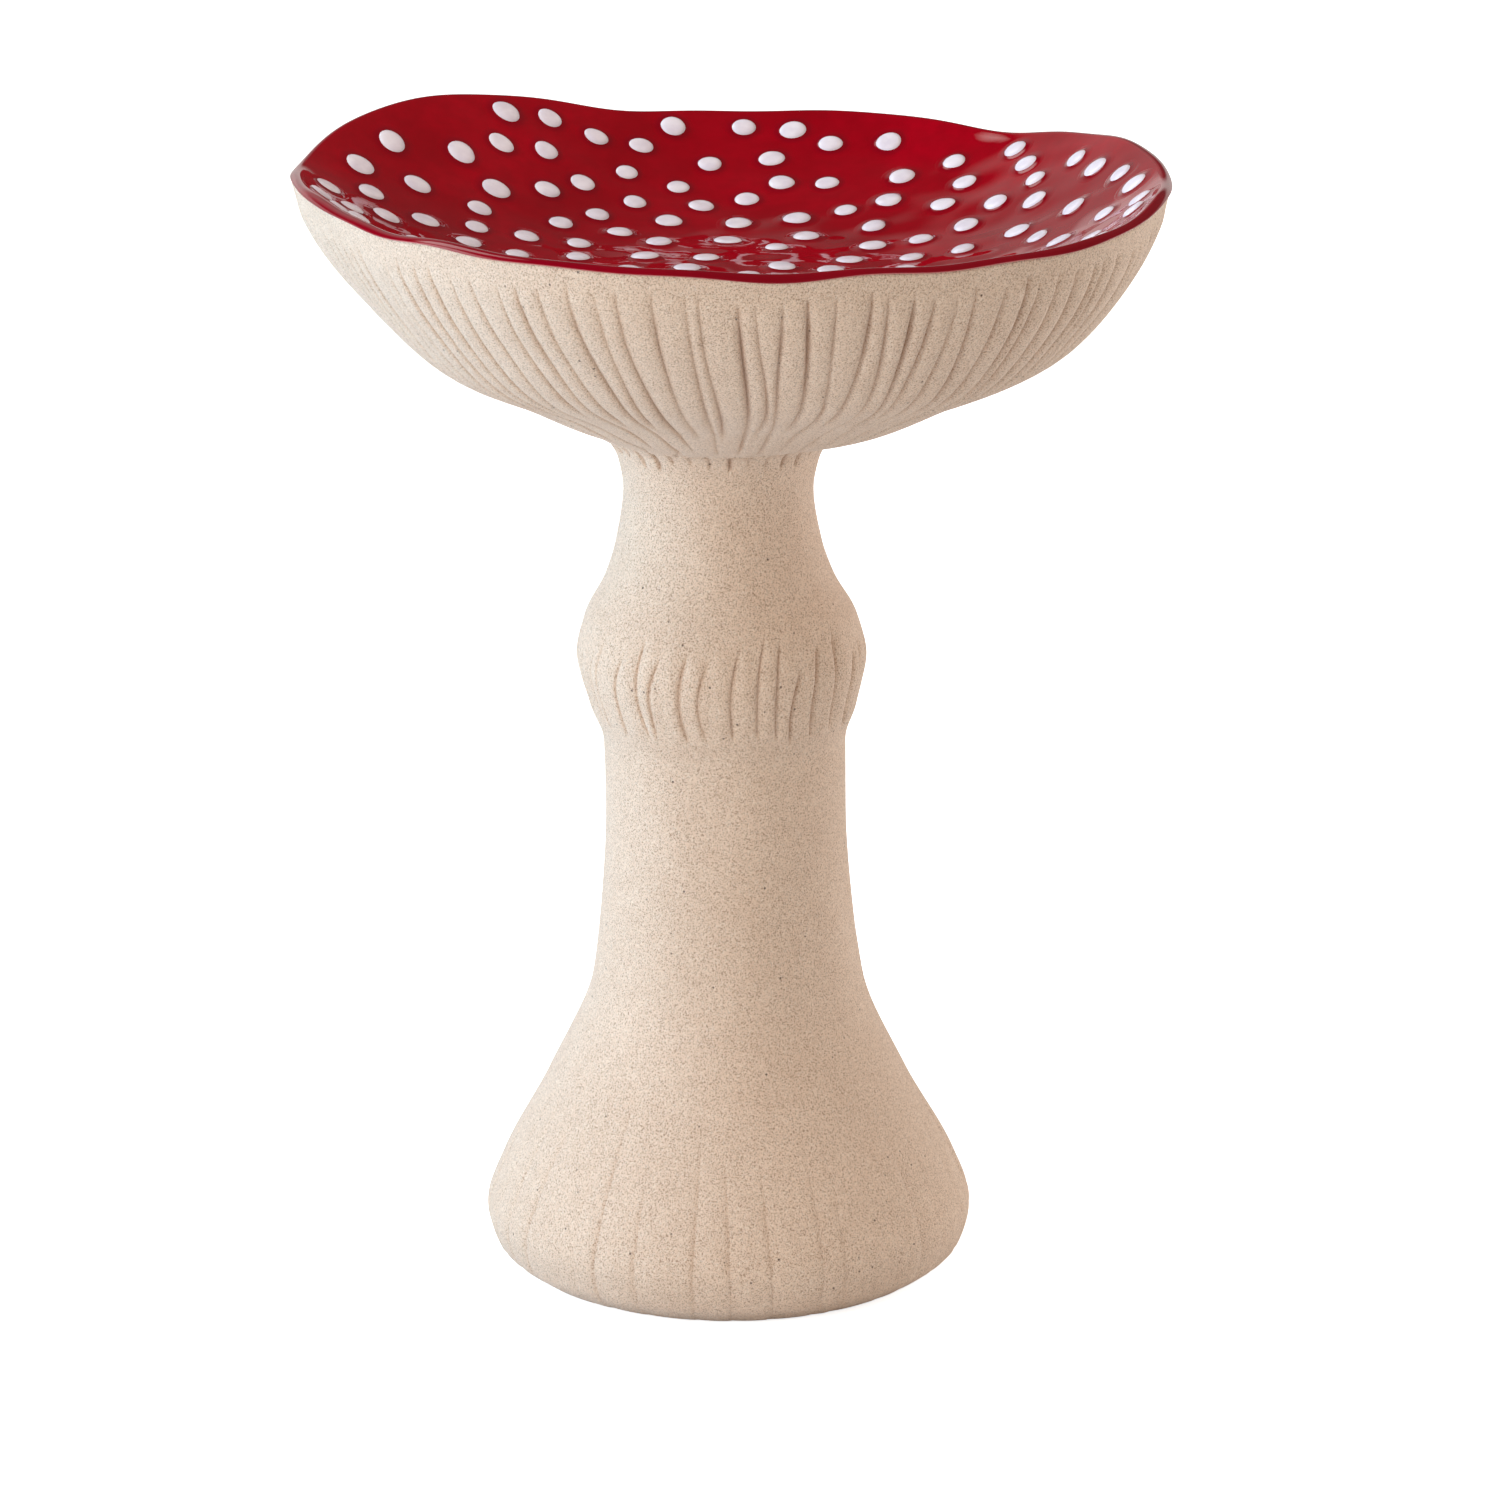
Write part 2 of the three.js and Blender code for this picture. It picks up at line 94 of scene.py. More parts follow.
# Dots
DOT_RADIUS = 6.4
DOT_SIZES = (0.9, 1.08)  # the smallest and the largest, as shares of that radius
DOT_HEIGHT = 2.2
DOT_HEIGHTS = (0.8, 1.1)  # the lowest and the tallest, as shares of that height
DOT_OVAL = (0.01, 0.06)  # how oval they are, least and most
DOT_LOBES = (0, 0.03)  # and how three-sided
DOT_ROOT = 0.3  # how deep it reaches into the glaze
DOT_SPACING = 22.5
DOT_EDGE = 8  # how far inside the lip the outermost ones may lie
DOT_SEED = 7
DOT_TRIES = 6000
DOT_SHAPE_SEED = 17
DOT_SIDES = 24
# Each ring of a dot: its reach as a share of the dot's radius, and its height as a share of the dot's
DOT_PROFILE = [(0.3, 0.99), (0.55, 0.95), (0.75, 0.84), (0.88, 0.66), (0.96, 0.5), (1.0, 0.32)]
# The same for the red glaze that gathers round the dot
MENISCUS = [
    (1.05, 0.26), (1.17, 0.18), (1.31, 0.1), (1.45, 0.042), (1.6, 0.012), (1.75, -0.004), (1.8, -0.05),
]
# The glaze round each dot is darkened: a painted shade
DOT_RING_SHADE = 0.42  # how much darker the glaze is there, from 0 to 1
DOT_RING_SHADE_FADE = (1.1, 1.7)  # the reaches between which that fades out

# Waves: lobes round the rim, size, azimuth of one crest in degrees
HEIGHT_WAVES = [
    (1, 1, -115), (2, 3.1, -17), (3, 4.9, 8), (4, 1, 36), (5, 1.3, -6), (6, 1.8, 14), (7, 1.4, -22),
]
REACH_WAVES = [(2, 4, -52), (3, 3.9, 33), (4, 5.2, -26)]
WAVE_START = 110  # the radius from which on the bowl follows these two
LIP_WOBBLE = [(9, 0.45, 65), (13, 0.5, 10), (19, 0.35, 40)]
WOBBLE_START = 180  # and the one from which on it follows this
EDGE_WAVES = [(1, 5, 90), (5, 5, 20), (9, 7, 55), (17, 5, 12)]  # of the glaze's edge, in degrees

# Slow unevenness of hand-made surfaces: seed, size, and its shortest and longest wave
PEDESTAL_RIPPLE = (21, 0.35, 60, 160)
BOWL_RIPPLE = (5, 0.4, 70, 170)
GLAZE_RIPPLES = [(31, 0.24, 22, 50), (32, 0.3, 70, 150)]

# Creases pressed into the clay: how many go round, how deep and how wide. A shift or a tilt is in
# radians to either side. A pair with no comment of its own is the least and the most, as shares.
CREASE_SIDES = (0.6, 1.9)  # how wide the steep side and the slow side are, as shares of the width
CREASE_SHARPNESS = 1.3
DEEPER_SIDE = (0.72, -15)  # by which share they are deeper than elsewhere, and towards which side

GILL_SEED = 11
GILL_COUNT = 96
GILL_EACH = 8  # columns of the mesh for each
GILL_GATHERING = 2.3  # how closely those columns gather at the crease
GILL_CROWDING = (0.15, -50)  # by which share they stand closer than elsewhere, and towards which side
GILL_BAND = 6  # how far under the lip they start
GILL_STARTS = (-2, 4)  # and by how much each one differs from that
GILL_RISE = [(0.4, 4), (0.6, 26)]  # shares of its depth, and how far from its start it has them
GILL_DEPTH = (1.1, 2.1)  # near the stem, and near the lip
GILL_STRENGTH = (0.6, 1.15)
GILL_WIDTH = (1.05, 0.95)  # again near the stem, and near the lip
# GILL_SHADE is how dark the painted shade at a gill's bottom is
GILL_SHADE = 0.7  # how dark its bottom looks, from 0 to 1
GILL_SWELL = 0.25  # how far the clay swells between two
GILL_WANDER = 0.2  # as a share of the way to the next one
SHORT_GILLS = (118, 150)  # the radii where every second one fades out
MIDDLE_GILLS = (82, 108)  # and where half of the others do
GILL_END_FADE = 12  # how much farther in and out that fading goes

PEDESTAL_SEED = 3
PEDESTAL_COLUMNS = 612  # a multiple of both groove counts
GROOVE_GATHERING = 1.8
FOOT_GROOVES = 34
FOOT_GROOVE_SHIFT = 0.055
FOOT_GROOVE_TILT = 0.035
FOOT_GROOVE_DEPTH = 0.8
FOOT_GROOVE_STRENGTH = (0.35, 1.3)
FOOT_GROOVE_WIDTH = 2.3
FOOT_GROOVE_RISE = 100  # how far above the foot's widest turn they end
FOOT_GROOVE_REACH = (0.45, 1.15)
SKIRT_GROOVES = 36
SKIRT_GROOVE_TURN = -0.05  # of all of them together
SKIRT_GROOVE_SHIFT = 0.045
SKIRT_GROOVE_DEPTH = 1.4
SKIRT_GROOVE_STRENGTH = (0.65, 1.1)
SKIRT_GROOVE_WIDTH = 1.0
# How dark the painted shade in the grooves is, from 0 to 1
SKIRT_GROOVE_SHADE = 0.45
SKIRT_GROOVE_START = 10  # above the crease under the skirt
SKIRT_GROOVE_STARTS = 3  # by how much each one differs from that, up or down
SKIRT_GROOVE_LENGTH = 49
SKIRT_GROOVE_ENDS = (-9, 5)  # by how much each one differs from that length
SKIRT_GROOVE_SLANT = 8  # how much higher they sit in front than at the sides
SKIRT_GROOVE_BEND = 0.35  # the share of its length where a groove is upright
SKIRT_SWEEP_UP = (0.05, 0.12)  # how far its top sweeps aside, in radians, least and most
SKIRT_SWEEP_DOWN = (0.01, 0.045)  # and its foot
SKIRT_SWELL = 0.5
SEAT_GROOVES = 36
SEAT_GROOVE_DEPTH = 2.3
SEAT_GROOVE_STRENGTH = (0.5, 1.2)
SEAT_GROOVE_WIDTH = 1.0
SEAT_GROOVE_FALL = 9  # how far below the seat they end
SEAT_GROOVE_REACH = (0.6, 1.5)
SEAT_GROOVE_TWIST = 0.012  # in grooves for each millimetre down

# Colours, as a screen shows them
WARM_CLAY, PALE_CLAY, CLAY_TINT = (223, 195, 171), (229, 201, 177), (216, 185, 160)
DARK_GRAIN, LIGHT_GRAIN = (158, 126, 102), (240, 222, 203)
# CREASE_SHADE is the painted shade in the clay's creases
CREASE_SHADE, IRON_SPECK = (152, 106, 78), (74, 52, 42)
BRIGHT_RED, DEEP_RED, POOLED_RED = (168, 0, 22), (148, 0, 16), (132, 0, 14)
# The lip's dark red is also the painted shade round the dots
LIP_AND_DOT_SHADE_RED, THIN_RED = (112, 4, 22), (218, 132, 124)
DOT_WHITE, DOT_LILAC = (242, 232, 236), (228, 216, 223)

# Where the photograph was taken from, and its lens
CAMERA_PLACE = (11.3, -3196.2, 1200.05)
CAMERA_DIP = 16.291
CAMERA_LENS = 159.78
SENSOR = 36

# Light: levels of 1 are white, bearings and climbs are in degrees, and lengths here are in metres
ROOM_SHADE = -35  # the bearing of the room's dark side, in front of the object and to its right
ROOM_LIGHT = (0.89, 0.57)  # how bright it is across from there, and there
ROOM_COLOURS = [(0.97, 0.98, 0.97, 1), (1, 0.9, 0.79, 1)]  # on the same two sides
GLOSS_LIGHT = (0.02, 0.1)  # in what its gloss mirrors: to its left, and to its right
GLOSS_BACKDROP = 0.7  # and low behind it
BACKDROP_TOP = (0.15, 0.25)  # how steeply a ray climbs where that backdrop starts to end, and where it ends
BACKDROP_SIDES = (0.2, 0.6)  # how far back a ray points where it starts, and where it is there in full
# Soft lights that only the gloss mirrors: strength, bearing, climb, and the half angles where they fade
GLOSS_SOFTBOXES = [(2.8, 145, 42, 12, 17), (0.35, 109, 21, 2, 19), (3.0, 177, 12, 16, 22)]
# Lamps: name, place, what it points at, width, height, power in watts, and tint
LIT_MIDDLE, LIT_TOP = (0, 0, 0.33), (0, 0, 0.5)
SOFTBOXES = [
    ("left_softbox", (-2.0, 0.1, 0.95), LIT_MIDDLE, 1.3, 1.7, 33, (0.4, 0.82, 1.22)),
    ("front_softbox", (-2.0, -2.2, 1.2), LIT_MIDDLE, 0.6, 0.8, 31, (0.9, 1.0, 1.08)),
    ("top_softbox", (-1.1, -0.4, 2.2), LIT_TOP, 0.9, 0.9, 6, (1.0, 0.7, 0.66)),
    ("right_softbox", (1.9, 1.2, 0.4), LIT_MIDDLE, 1.2, 1.2, 28, (0.96, 1.0, 1.06)),
]
FLOOR_REACH = 14
FLOOR_DROP = 0.0005
FLOOR_GREY = (0.8, 0.8, 0.8, 1)
FLOOR_GLOW = 0.8


# Curves

def curve_through(stations):
    """A smooth curve through (position, value) stations, which never swings past them."""
    at, value = np.array(stations, float).T
    width = np.diff(at)
    rise = np.diff(value) / width
    before, after = rise[:-1], rise[1:]
    turns = before * after <= 0
    middle = np.where(turns, 0, 2 * before * after / np.where(turns, 1, before + after))
    slope = np.concatenate([rise[:1], middle, rise[-1:]])

    def curve(position):
        position = np.asarray(position, float)
        i = np.clip(np.searchsorted(at, position) - 1, 0, len(width) - 1)
        t = (position - at[i]) / width[i]
        return (
            value[i] * (1 + 2 * t) * (1 - t) ** 2
            + slope[i] * width[i] * t * (1 - t) ** 2
            + value[i + 1] * t * t * (3 - 2 * t)
            + slope[i + 1] * width[i] * t * t * (t - 1)
        )

    return curve


def part_way(start, end, first, second):
    """A station part of the way from one to the next, by a share of each coordinate."""
    return (start[0] + (end[0] - start[0]) * first, start[1] + (end[1] - start[1]) * second)


def steepness(curve, position):
    return np.arctan(curve(position + 0.5) - curve(position - 0.5))


def smooth_step(value, low, high):
    t = np.clip((value - low) / (high - low), 0, 1)
    return t * t * (3 - 2 * t)


def wave(waves, angle):
    return sum(size * np.cos(lobes * (angle - math.radians(crest))) for lobes, size, crest in waves)


def ripple(x, y, seed, size, shortest, longest, count=14):
    """Slow unevenness of a hand-made surface, from seeded waves in every direction."""
    random = np.random.default_rng(seed)
    total = np.zeros(np.broadcast(x, y).shape)
    for _ in range(count):
        length = random.uniform(shortest, longest)
        heading, phase = random.uniform(0, 2 * math.pi, 2)
        total += np.sin((x * math.cos(heading) + y * math.sin(heading)) * 2 * math.pi / length + phase)
    return total * size / math.sqrt(count)


FOOT_HEIGHT = FOOT_RISE
WAIST_HEIGHT = FOOT_HEIGHT + WAIST_RISE
CREASE_HEIGHT = WAIST_HEIGHT + CREASE_RISE
SKIRT_HEIGHT = CREASE_HEIGHT + SKIRT_RISE
NECK_HEIGHT = SKIRT_HEIGHT + NECK_RISE
SEAT_HEIGHT = NECK_HEIGHT + SEAT_RISE
SHOULDER_HEIGHT = SEAT_HEIGHT + SHOULDER_RISE
BELLY_HEIGHT = SHOULDER_HEIGHT + BELLY_RISE
RIM_HEIGHT = BELLY_HEIGHT + RIM_RISE

sole, foot, waist = (0, SOLE_RADIUS), (FOOT_HEIGHT, FOOT_RADIUS), (WAIST_HEIGHT, WAIST_RADIUS)
crease, skirt = (CREASE_HEIGHT, CREASE_RADIUS), (SKIRT_HEIGHT, SKIRT_RADIUS)
neck, seat = (NECK_HEIGHT, NECK_RADIUS), (SEAT_HEIGHT, SEAT_RADIUS)

stem_radius = curve_through([
    sole,
    part_way(sole, foot, 0.4, 0.76),
    foot,
    part_way(foot, waist, 0.1, 0.11),
    part_way(foot, waist, 0.325, 0.505),
    part_way(foot, waist, 0.59, 0.87),
    waist,
    crease,
    part_way(crease, skirt, 0.49, 0.58),
    skirt,
    part_way(skirt, neck, 0.23, 0.17),
    part_way(skirt, neck, 0.47, 0.61),
    part_way(skirt, neck, 0.7, 0.86),
    neck,
    part_way(neck, seat, 0.54, 0.22),
    part_way(neck, seat, 0.86, 0.6),
    seat,
])
stem_lean = curve_through([
    (0, FOOT_LEAN), (WAIST_HEIGHT, WAIST_LEAN), (NECK_HEIGHT, NECK_LEAN), (SEAT_HEIGHT, SEAT_LEAN),
])

SKIN_RADIUS = LIP_RADIUS + GLAZE_GAP + GLAZE_THICKNESS
LIP_MIDDLE = (RIM_RADIUS - SKIN_RADIUS, RIM_HEIGHT - SKIN_RADIUS)
CLAY_DEPTH = GLAZE_THICKNESS + GLAZE_GAP


def lip_outline(radius, turn):
    """A point on a round about the lip's middle, at a turn in degrees."""
    return (
        LIP_MIDDLE[0] + radius * np.cos(np.radians(turn)),
        LIP_MIDDLE[1] + radius * np.sin(np.radians(turn)),
    )


wall_top = lip_outline(SKIN_RADIUS, LIP_INNER)
dish_floor = RIM_HEIGHT - DISH_DEPTH
lip_foot = lip_outline(LIP_RADIUS, LIP_FOOT)
shoulder = (SHOULDER_RADIUS, SHOULDER_HEIGHT)
belly = (BELLY_RADIUS, BELLY_HEIGHT)

underside_height = curve_through([
    seat[::-1],
    shoulder,
    part_way(shoulder, belly, 0.41, 0.41),
    belly,
    part_way(belly, lip_foot, 0.58, 0.4),
    part_way(belly, lip_foot, 0.93, 0.8),
    lip_foot,
])
underside_lean = curve_through([
    (SEAT_RADIUS, SEAT_LEAN), (SHOULDER_RADIUS, SHOULDER_LEAN), (BELLY_RADIUS, BELLY_LEAN),
    (lip_foot[0], RIM_LEAN),
])


def dish_height(radius):
    share = np.maximum(0, (radius - DISH_FLOOR_RADIUS) / (wall_top[0] - DISH_FLOOR_RADIUS))
    return dish_floor + (wall_top[1] - dish_floor) * share ** DISH_WALL_POWER


def points_of(x, y, z):
    return np.stack(np.broadcast_arrays(x, y, z), -1)


def bent_point(radius, height, angle, lean, wave_radius):
    """A point of the bowl. The waves act as they do at wave_radius."""
    share = smooth_step(wave_radius, WAVE_START, LIP_MIDDLE[0]) ** 2
    wobble = smooth_step(wave_radius, WOBBLE_START, LIP_MIDDLE[0]) * wave(LIP_WOBBLE, angle)
    reach = radius + share * wave(REACH_WAVES, angle)
    return points_of(
        lean + reach * np.cos(angle),
        MIDDLE_Y + reach * np.sin(angle),
        height + share * wave(HEIGHT_WAVES, angle) + wobble,
    )


def dish_point(radius, depth, angle):
    """A point some depth below the top of the glaze, square to it."""
    slope = steepness(dish_height, radius)
    return bent_point(
        radius + depth * np.sin(slope), dish_height(radius) - depth * np.cos(slope), angle, RIM_LEAN, radius
    )


def lip_point(turn, depth, angle):
    radius, height = lip_outline(SKIN_RADIUS - depth, turn)
    return bent_point(radius, height, angle, RIM_LEAN, LIP_MIDDLE[0])


def underside_point(radius, depth, angle):
    """A point some depth inside the underside, square to it."""
    slope = steepness(underside_height, radius)
    return bent_point(
        radius - depth * np.sin(slope),
        underside_height(radius) + depth * np.cos(slope),
        angle,
        underside_lean(radius),
        radius,
    )


# Meshes

def mesh_object(name, points, faces, materials, face_materials=None):
    """An object with smooth faces, from points in millimetres.

    A point's fourth number, if it has one, says how deep in a crease it lies, which sets how dark the
    painted shade there is, from 0 to 1.
    On the glaze it is up to 0.5 on the lip, and beside the dots as a painted shade, and 1 at its thin edge.
    """
    points = np.asarray(points)
    mesh = bpy.data.meshes.new(name)
    mesh.from_pydata(points[:, :3] * MM, [], faces)
    if points.shape[1] > 3:
        creases = mesh.attributes.new("crease", "FLOAT", "POINT")
        creases.data.foreach_set("value", points[:, 3].astype(np.float32))
    for material in materials:
        mesh.materials.append(material)
    if face_materials is not None:
        mesh.polygons.foreach_set("material_index", face_materials)
    mesh.polygons.foreach_set("use_smooth", np.ones(len(mesh.polygons), bool))
    mesh.validate()
    made = bpy.data.objects.new(name, mesh)
    bpy.context.scene.collection.objects.link(made)
    return made


def faces_between(start_a, count_a, start_b, count_b):
    """Faces from one ring to the next: four-sided, or a fan where one of them is a single point."""
    i = np.arange(max(count_a, count_b))
    j = (i + 1) % len(i)
    if count_a == 1:
        return np.stack([np.full_like(i, start_a), start_b + j, start_b + i], -1).tolist()
    if count_b == 1:
        return np.stack([start_a + i, start_a + j, np.full_like(i, start_b)], -1).tolist()
    return np.stack([start_a + i, start_a + j, start_b + j, start_b + i], -1).tolist()


def with_creases(points, creases):
    return np.column_stack([points[:, :3], np.broadcast_to(creases, len(points))])


def loft(name, rings, materials, closed=False):
    """A surface through rings of points. Listed upwards the outside faces out."""
    rings = [one if one.shape[1] > 3 else with_creases(one, 0.0) for one in rings]
    counts = [len(one) for one in rings]
    starts = np.cumsum([0] + counts)
    faces = []
    last = len(rings) if closed else len(rings) - 1
    for k in range(last):
        after = (k + 1) % len(rings)
        faces += faces_between(starts[k], counts[k], starts[after], counts[after])
    return mesh_object(name, np.concatenate(rings), faces, materials)


# Creases

def gathered(count, per_crease, gather):
    """For each column its place between creases, from -0.5 through 0 at the crease. Most lie near it."""
    place = np.arange(per_crease) / per_crease - 0.5
    place = np.sign(place) * np.abs(2 * place) ** gather / 2
    return np.tile(place, (count, 1))


def columns_along(lines, place):
    """Angles of the columns, and how far each is from its crease. The creases lie at the angles lines."""
    before, after = np.roll(lines, 1), np.roll(lines, -1)
    before[0] -= 2 * math.pi
    after[-1] += 2 * math.pi
    side = np.where(place < 0, (lines - before)[:, None], (after - lines)[:, None])
    return (lines[:, None] + place * side).ravel(), (place * side).ravel()


def crease_depth(distance, width):
    """How deep a crease is at a distance from its line, as a share of its depth.

    Its bottom is sharp. It falls steeply on one side and climbs slowly on the other, as a fold does.
    """
    side = width * np.where(distance < 0, *CREASE_SIDES)
    return np.exp(-((np.abs(distance) / side) ** CREASE_SHARPNESS))


def deeper_side(lines):
    """How much deeper than elsewhere the creases at these angles are."""
    share, side = DEEPER_SIDE
    return 1 + share * np.cos(lines - math.radians(side))


def evenly(count):
    return (np.arange(count) + 0.5) * 2 * math.pi / count


def either_way(random, most, count):
    """Random numbers of either sign, none of them larger than most."""
    return random.uniform(-most, most, count)


def crowded(lines):
    """Even angles, drawn together towards one side."""
    share, side = GILL_CROWDING
    return lines - share * np.sin(lines - math.radians(side))


def spans(*stops):
    """Values from each (start, step) to the next start."""
    made = []
    for (start, step), (end, _) in zip(stops, stops[1:]):
        made.append(np.linspace(start, end, max(1, round((end - start) / step)), endpoint=False))
    return np.concatenate(made + [[stops[-1][0]]])


# Pedestal

FOOT_EACH = PEDESTAL_COLUMNS // FOOT_GROOVES
SKIRT_EACH = PEDESTAL_COLUMNS // SKIRT_GROOVES
foot_place = gathered(FOOT_GROOVES, FOOT_EACH, GROOVE_GATHERING)
skirt_place = gathered(SKIRT_GROOVES, SKIRT_EACH, GROOVE_GATHERING)
even_angles = evenly(PEDESTAL_COLUMNS) - math.pi / PEDESTAL_COLUMNS

# Heights between which the columns pass from the foot's grooves to the skirt's, and then to even ones
foot_to_skirt = (95, 250)
skirt_to_neck = (SKIRT_HEIGHT + 20, NECK_HEIGHT - 10)


def pedestal_creases(random):
    """A function of height and radius: the columns' angles there, and how deep creases and cuts go."""
    foot_lines = evenly(FOOT_GROOVES) + either_way(random, FOOT_GROOVE_SHIFT, FOOT_GROOVES)
    foot_tilt = either_way(random, FOOT_GROOVE_TILT, FOOT_GROOVES)
    foot_deep = random.uniform(*FOOT_GROOVE_STRENGTH, FOOT_GROOVES)
    foot_long = random.uniform(*FOOT_GROOVE_REACH, FOOT_GROOVES) * FOOT_GROOVE_RISE

    skirt_lines = evenly(SKIRT_GROOVES) + either_way(random, SKIRT_GROOVE_SHIFT, SKIRT_GROOVES)
    skirt_lines = skirt_lines + SKIRT_GROOVE_TURN
    start = CREASE_HEIGHT + SKIRT_GROOVE_START - SKIRT_GROOVE_SLANT * np.sin(skirt_lines)
    start = start + either_way(random, SKIRT_GROOVE_STARTS, SKIRT_GROOVES)
    end = start + SKIRT_GROOVE_LENGTH + random.uniform(*SKIRT_GROOVE_ENDS, SKIRT_GROOVES)
    middle = start + SKIRT_GROOVE_BEND * (end - start)
    sweep_up = random.uniform(*SKIRT_SWEEP_UP, SKIRT_GROOVES)
    sweep_down = random.uniform(*SKIRT_SWEEP_DOWN, SKIRT_GROOVES)
    skirt_deep = random.uniform(*SKIRT_GROOVE_STRENGTH, SKIRT_GROOVES) * deeper_side(skirt_lines)

    seat_deep = random.uniform(*SEAT_GROOVE_STRENGTH, SEAT_GROOVES)
    seat_long = random.uniform(*SEAT_GROOVE_REACH, SEAT_GROOVES) * SEAT_GROOVE_FALL

    def foot_columns(height):
        share = (height - FOOT_HEIGHT) / foot_long
        angles, away = columns_along(foot_lines + foot_tilt * np.clip(share, -0.5, 1.3), foot_place)
        deep = foot_deep * (1 - smooth_step(share, 0.25, 1))
        return angles, np.repeat(deep, FOOT_EACH) * FOOT_GROOVE_DEPTH, away, FOOT_GROOVE_WIDTH

    def skirt_columns(height):
        above = np.clip((height - middle) / (end - middle), 0, 1.2)
        below = np.clip((middle - height) / (middle - start), 0, 1.2)
        lines = skirt_lines + sweep_up * above ** 2 + sweep_down * below ** 2
        angles, away = columns_along(lines, skirt_place)
        deep = skirt_deep * smooth_step(height, start - 3, start + 4)
        deep = deep * (1 - smooth_step(height, end - 11, end))
        return angles, np.repeat(deep, SKIRT_EACH) * SKIRT_GROOVE_DEPTH, away, SKIRT_GROOVE_WIDTH

    def seat_cut(angle, radius, height):
        fall = SEAT_HEIGHT - height
        turn = angle / (2 * math.pi) * SEAT_GROOVES - SEAT_GROOVE_TWIST * fall
        groove = np.floor(turn).astype(int) % SEAT_GROOVES
        across = (turn - np.floor(turn) - 0.5) * 2 * math.pi / SEAT_GROOVES * radius
        fade = 1 - smooth_step(fall, 0.55 * seat_long[groove], seat_long[groove])
        return SEAT_GROOVE_DEPTH * seat_deep[groove] * fade * crease_depth(across, SEAT_GROOVE_WIDTH)

    def columns_at(height, radius):
        past_foot = smooth_step(height, *foot_to_skirt)
        to_foot = 1 - past_foot
        to_skirt = past_foot * (1 - smooth_step(height, *skirt_to_neck))
        angle = even_angles * (1 - to_foot - to_skirt)
        cut = 0
        for share, columns in ((to_foot, foot_columns), (to_skirt, skirt_columns)):
            if share > 0:
                made, deep, away, width = columns(height)
                angle = angle + share * made
                cut = cut + share * deep * crease_depth(away * radius, width)
        return angle, cut, seat_cut(angle, radius, height)

    return columns_at


def pedestal_object(material):
    columns_at = pedestal_creases(np.random.default_rng(PEDESTAL_SEED))

    def outer_ring(height):
        radius = float(stem_radius(height))
        angle, cut, seat = columns_at(height, radius)
        along = height + SKIRT_GROOVE_SLANT * np.sin(angle) - CREASE_HEIGHT - SKIRT_GROOVE_START
        band = smooth_step(along, -6, 6) * (1 - smooth_step(along - SKIRT_GROOVE_LENGTH, -16, 6))
        swell = SKIRT_SWELL * band * np.cos(angle * SKIRT_GROOVES / 2) ** 2
        calm = smooth_step(SEAT_HEIGHT - height, 0, 12)
        uneven = calm * ripple(angle * FOOT_RADIUS, height, *PEDESTAL_RIPPLE)
        reach = radius - cut - seat + swell + uneven
        lean = float(stem_lean(height))
        points = points_of(lean + reach * np.cos(angle), MIDDLE_Y + reach * np.sin(angle), height)
        # Painted shade in the grooves, darker where they cut deeper
        shade = SKIRT_GROOVE_SHADE * cut / SKIRT_GROOVE_DEPTH + seat / SEAT_GROOVE_DEPTH
        return with_creases(points, np.clip(shade, 0, 1))

    def inner_ring(radius, height, lean):
        x = lean + radius * np.cos(even_angles)
        y = MIDDLE_Y + radius * np.sin(even_angles)
        return points_of(x, y, height)

    def shrunk(points, inset, height, lean):
        """A ring drawn in towards the centre line, and moved to another height."""
        middle = np.array([lean, MIDDLE_Y, 0])
        out = points[:, :3] - middle
        out[:, 2] = 0
        out = out * (1 - inset / np.linalg.norm(out, axis=1))[:, None] + middle
        out[:, 2] = height
        return out

    rings = []
    for turn in np.radians((0, 22, 45, 67)):
        height = SOLE_ROUND * (1 - math.cos(turn))
        rings.append(shrunk(outer_ring(height), SOLE_ROUND * (1 - math.sin(turn)), height, FOOT_LEAN))
    # The rows lie closer together where there are grooves
    heights = spans(
        (SOLE_ROUND, 2.8), (98, 6), (CREASE_HEIGHT - 8, 1.5), (SKIRT_HEIGHT + 20, 4),
        (NECK_HEIGHT + 12, 1.3), (SEAT_HEIGHT - SEAT_ROUND, 1),
    )
    rings += [outer_ring(height) for height in heights]
    for turn in np.radians((45, 90)):
        inset = SEAT_ROUND * (1 - math.cos(turn))
        height = SEAT_HEIGHT - SEAT_ROUND * (1 - math.sin(turn))
        rings.append(shrunk(outer_ring(SEAT_HEIGHT - SEAT_ROUND), inset, height, SEAT_LEAN))
    for height in (SEAT_HEIGHT, SEAT_HEIGHT - MOUTH_DEPTH):
        rings.append(inner_ring(MOUTH_RADIUS, height, SEAT_LEAN))
    for height in np.linspace((SKIRT_HEIGHT + NECK_HEIGHT) / 2, FOOT_HEIGHT, 9):
        rings.append(inner_ring(stem_radius(height) - PEDESTAL_WALL, height, stem_lean(height)))
    rings.append(inner_ring(SOLE_RADIUS - SOLE_WIDTH, 0, FOOT_LEAN))
    return loft("pedestal_clay", rings, [material], closed=True)


# Bowl

gill_place = gathered(GILL_COUNT, GILL_EACH, GILL_GATHERING)
gill_lines = crowded(evenly(GILL_COUNT))
bowl_angles = columns_along(gill_lines, gill_place)[0]

# The way along the underside, from the seat's edge to the lip, and the radius at each step of it
underside_rows = np.linspace(SEAT_RADIUS + 0.5, lip_foot[0], 3000)
underside_arc = np.hypot(np.diff(underside_rows), np.diff(underside_height(underside_rows)))
underside_arc = np.concatenate([[0], np.cumsum(underside_arc)])


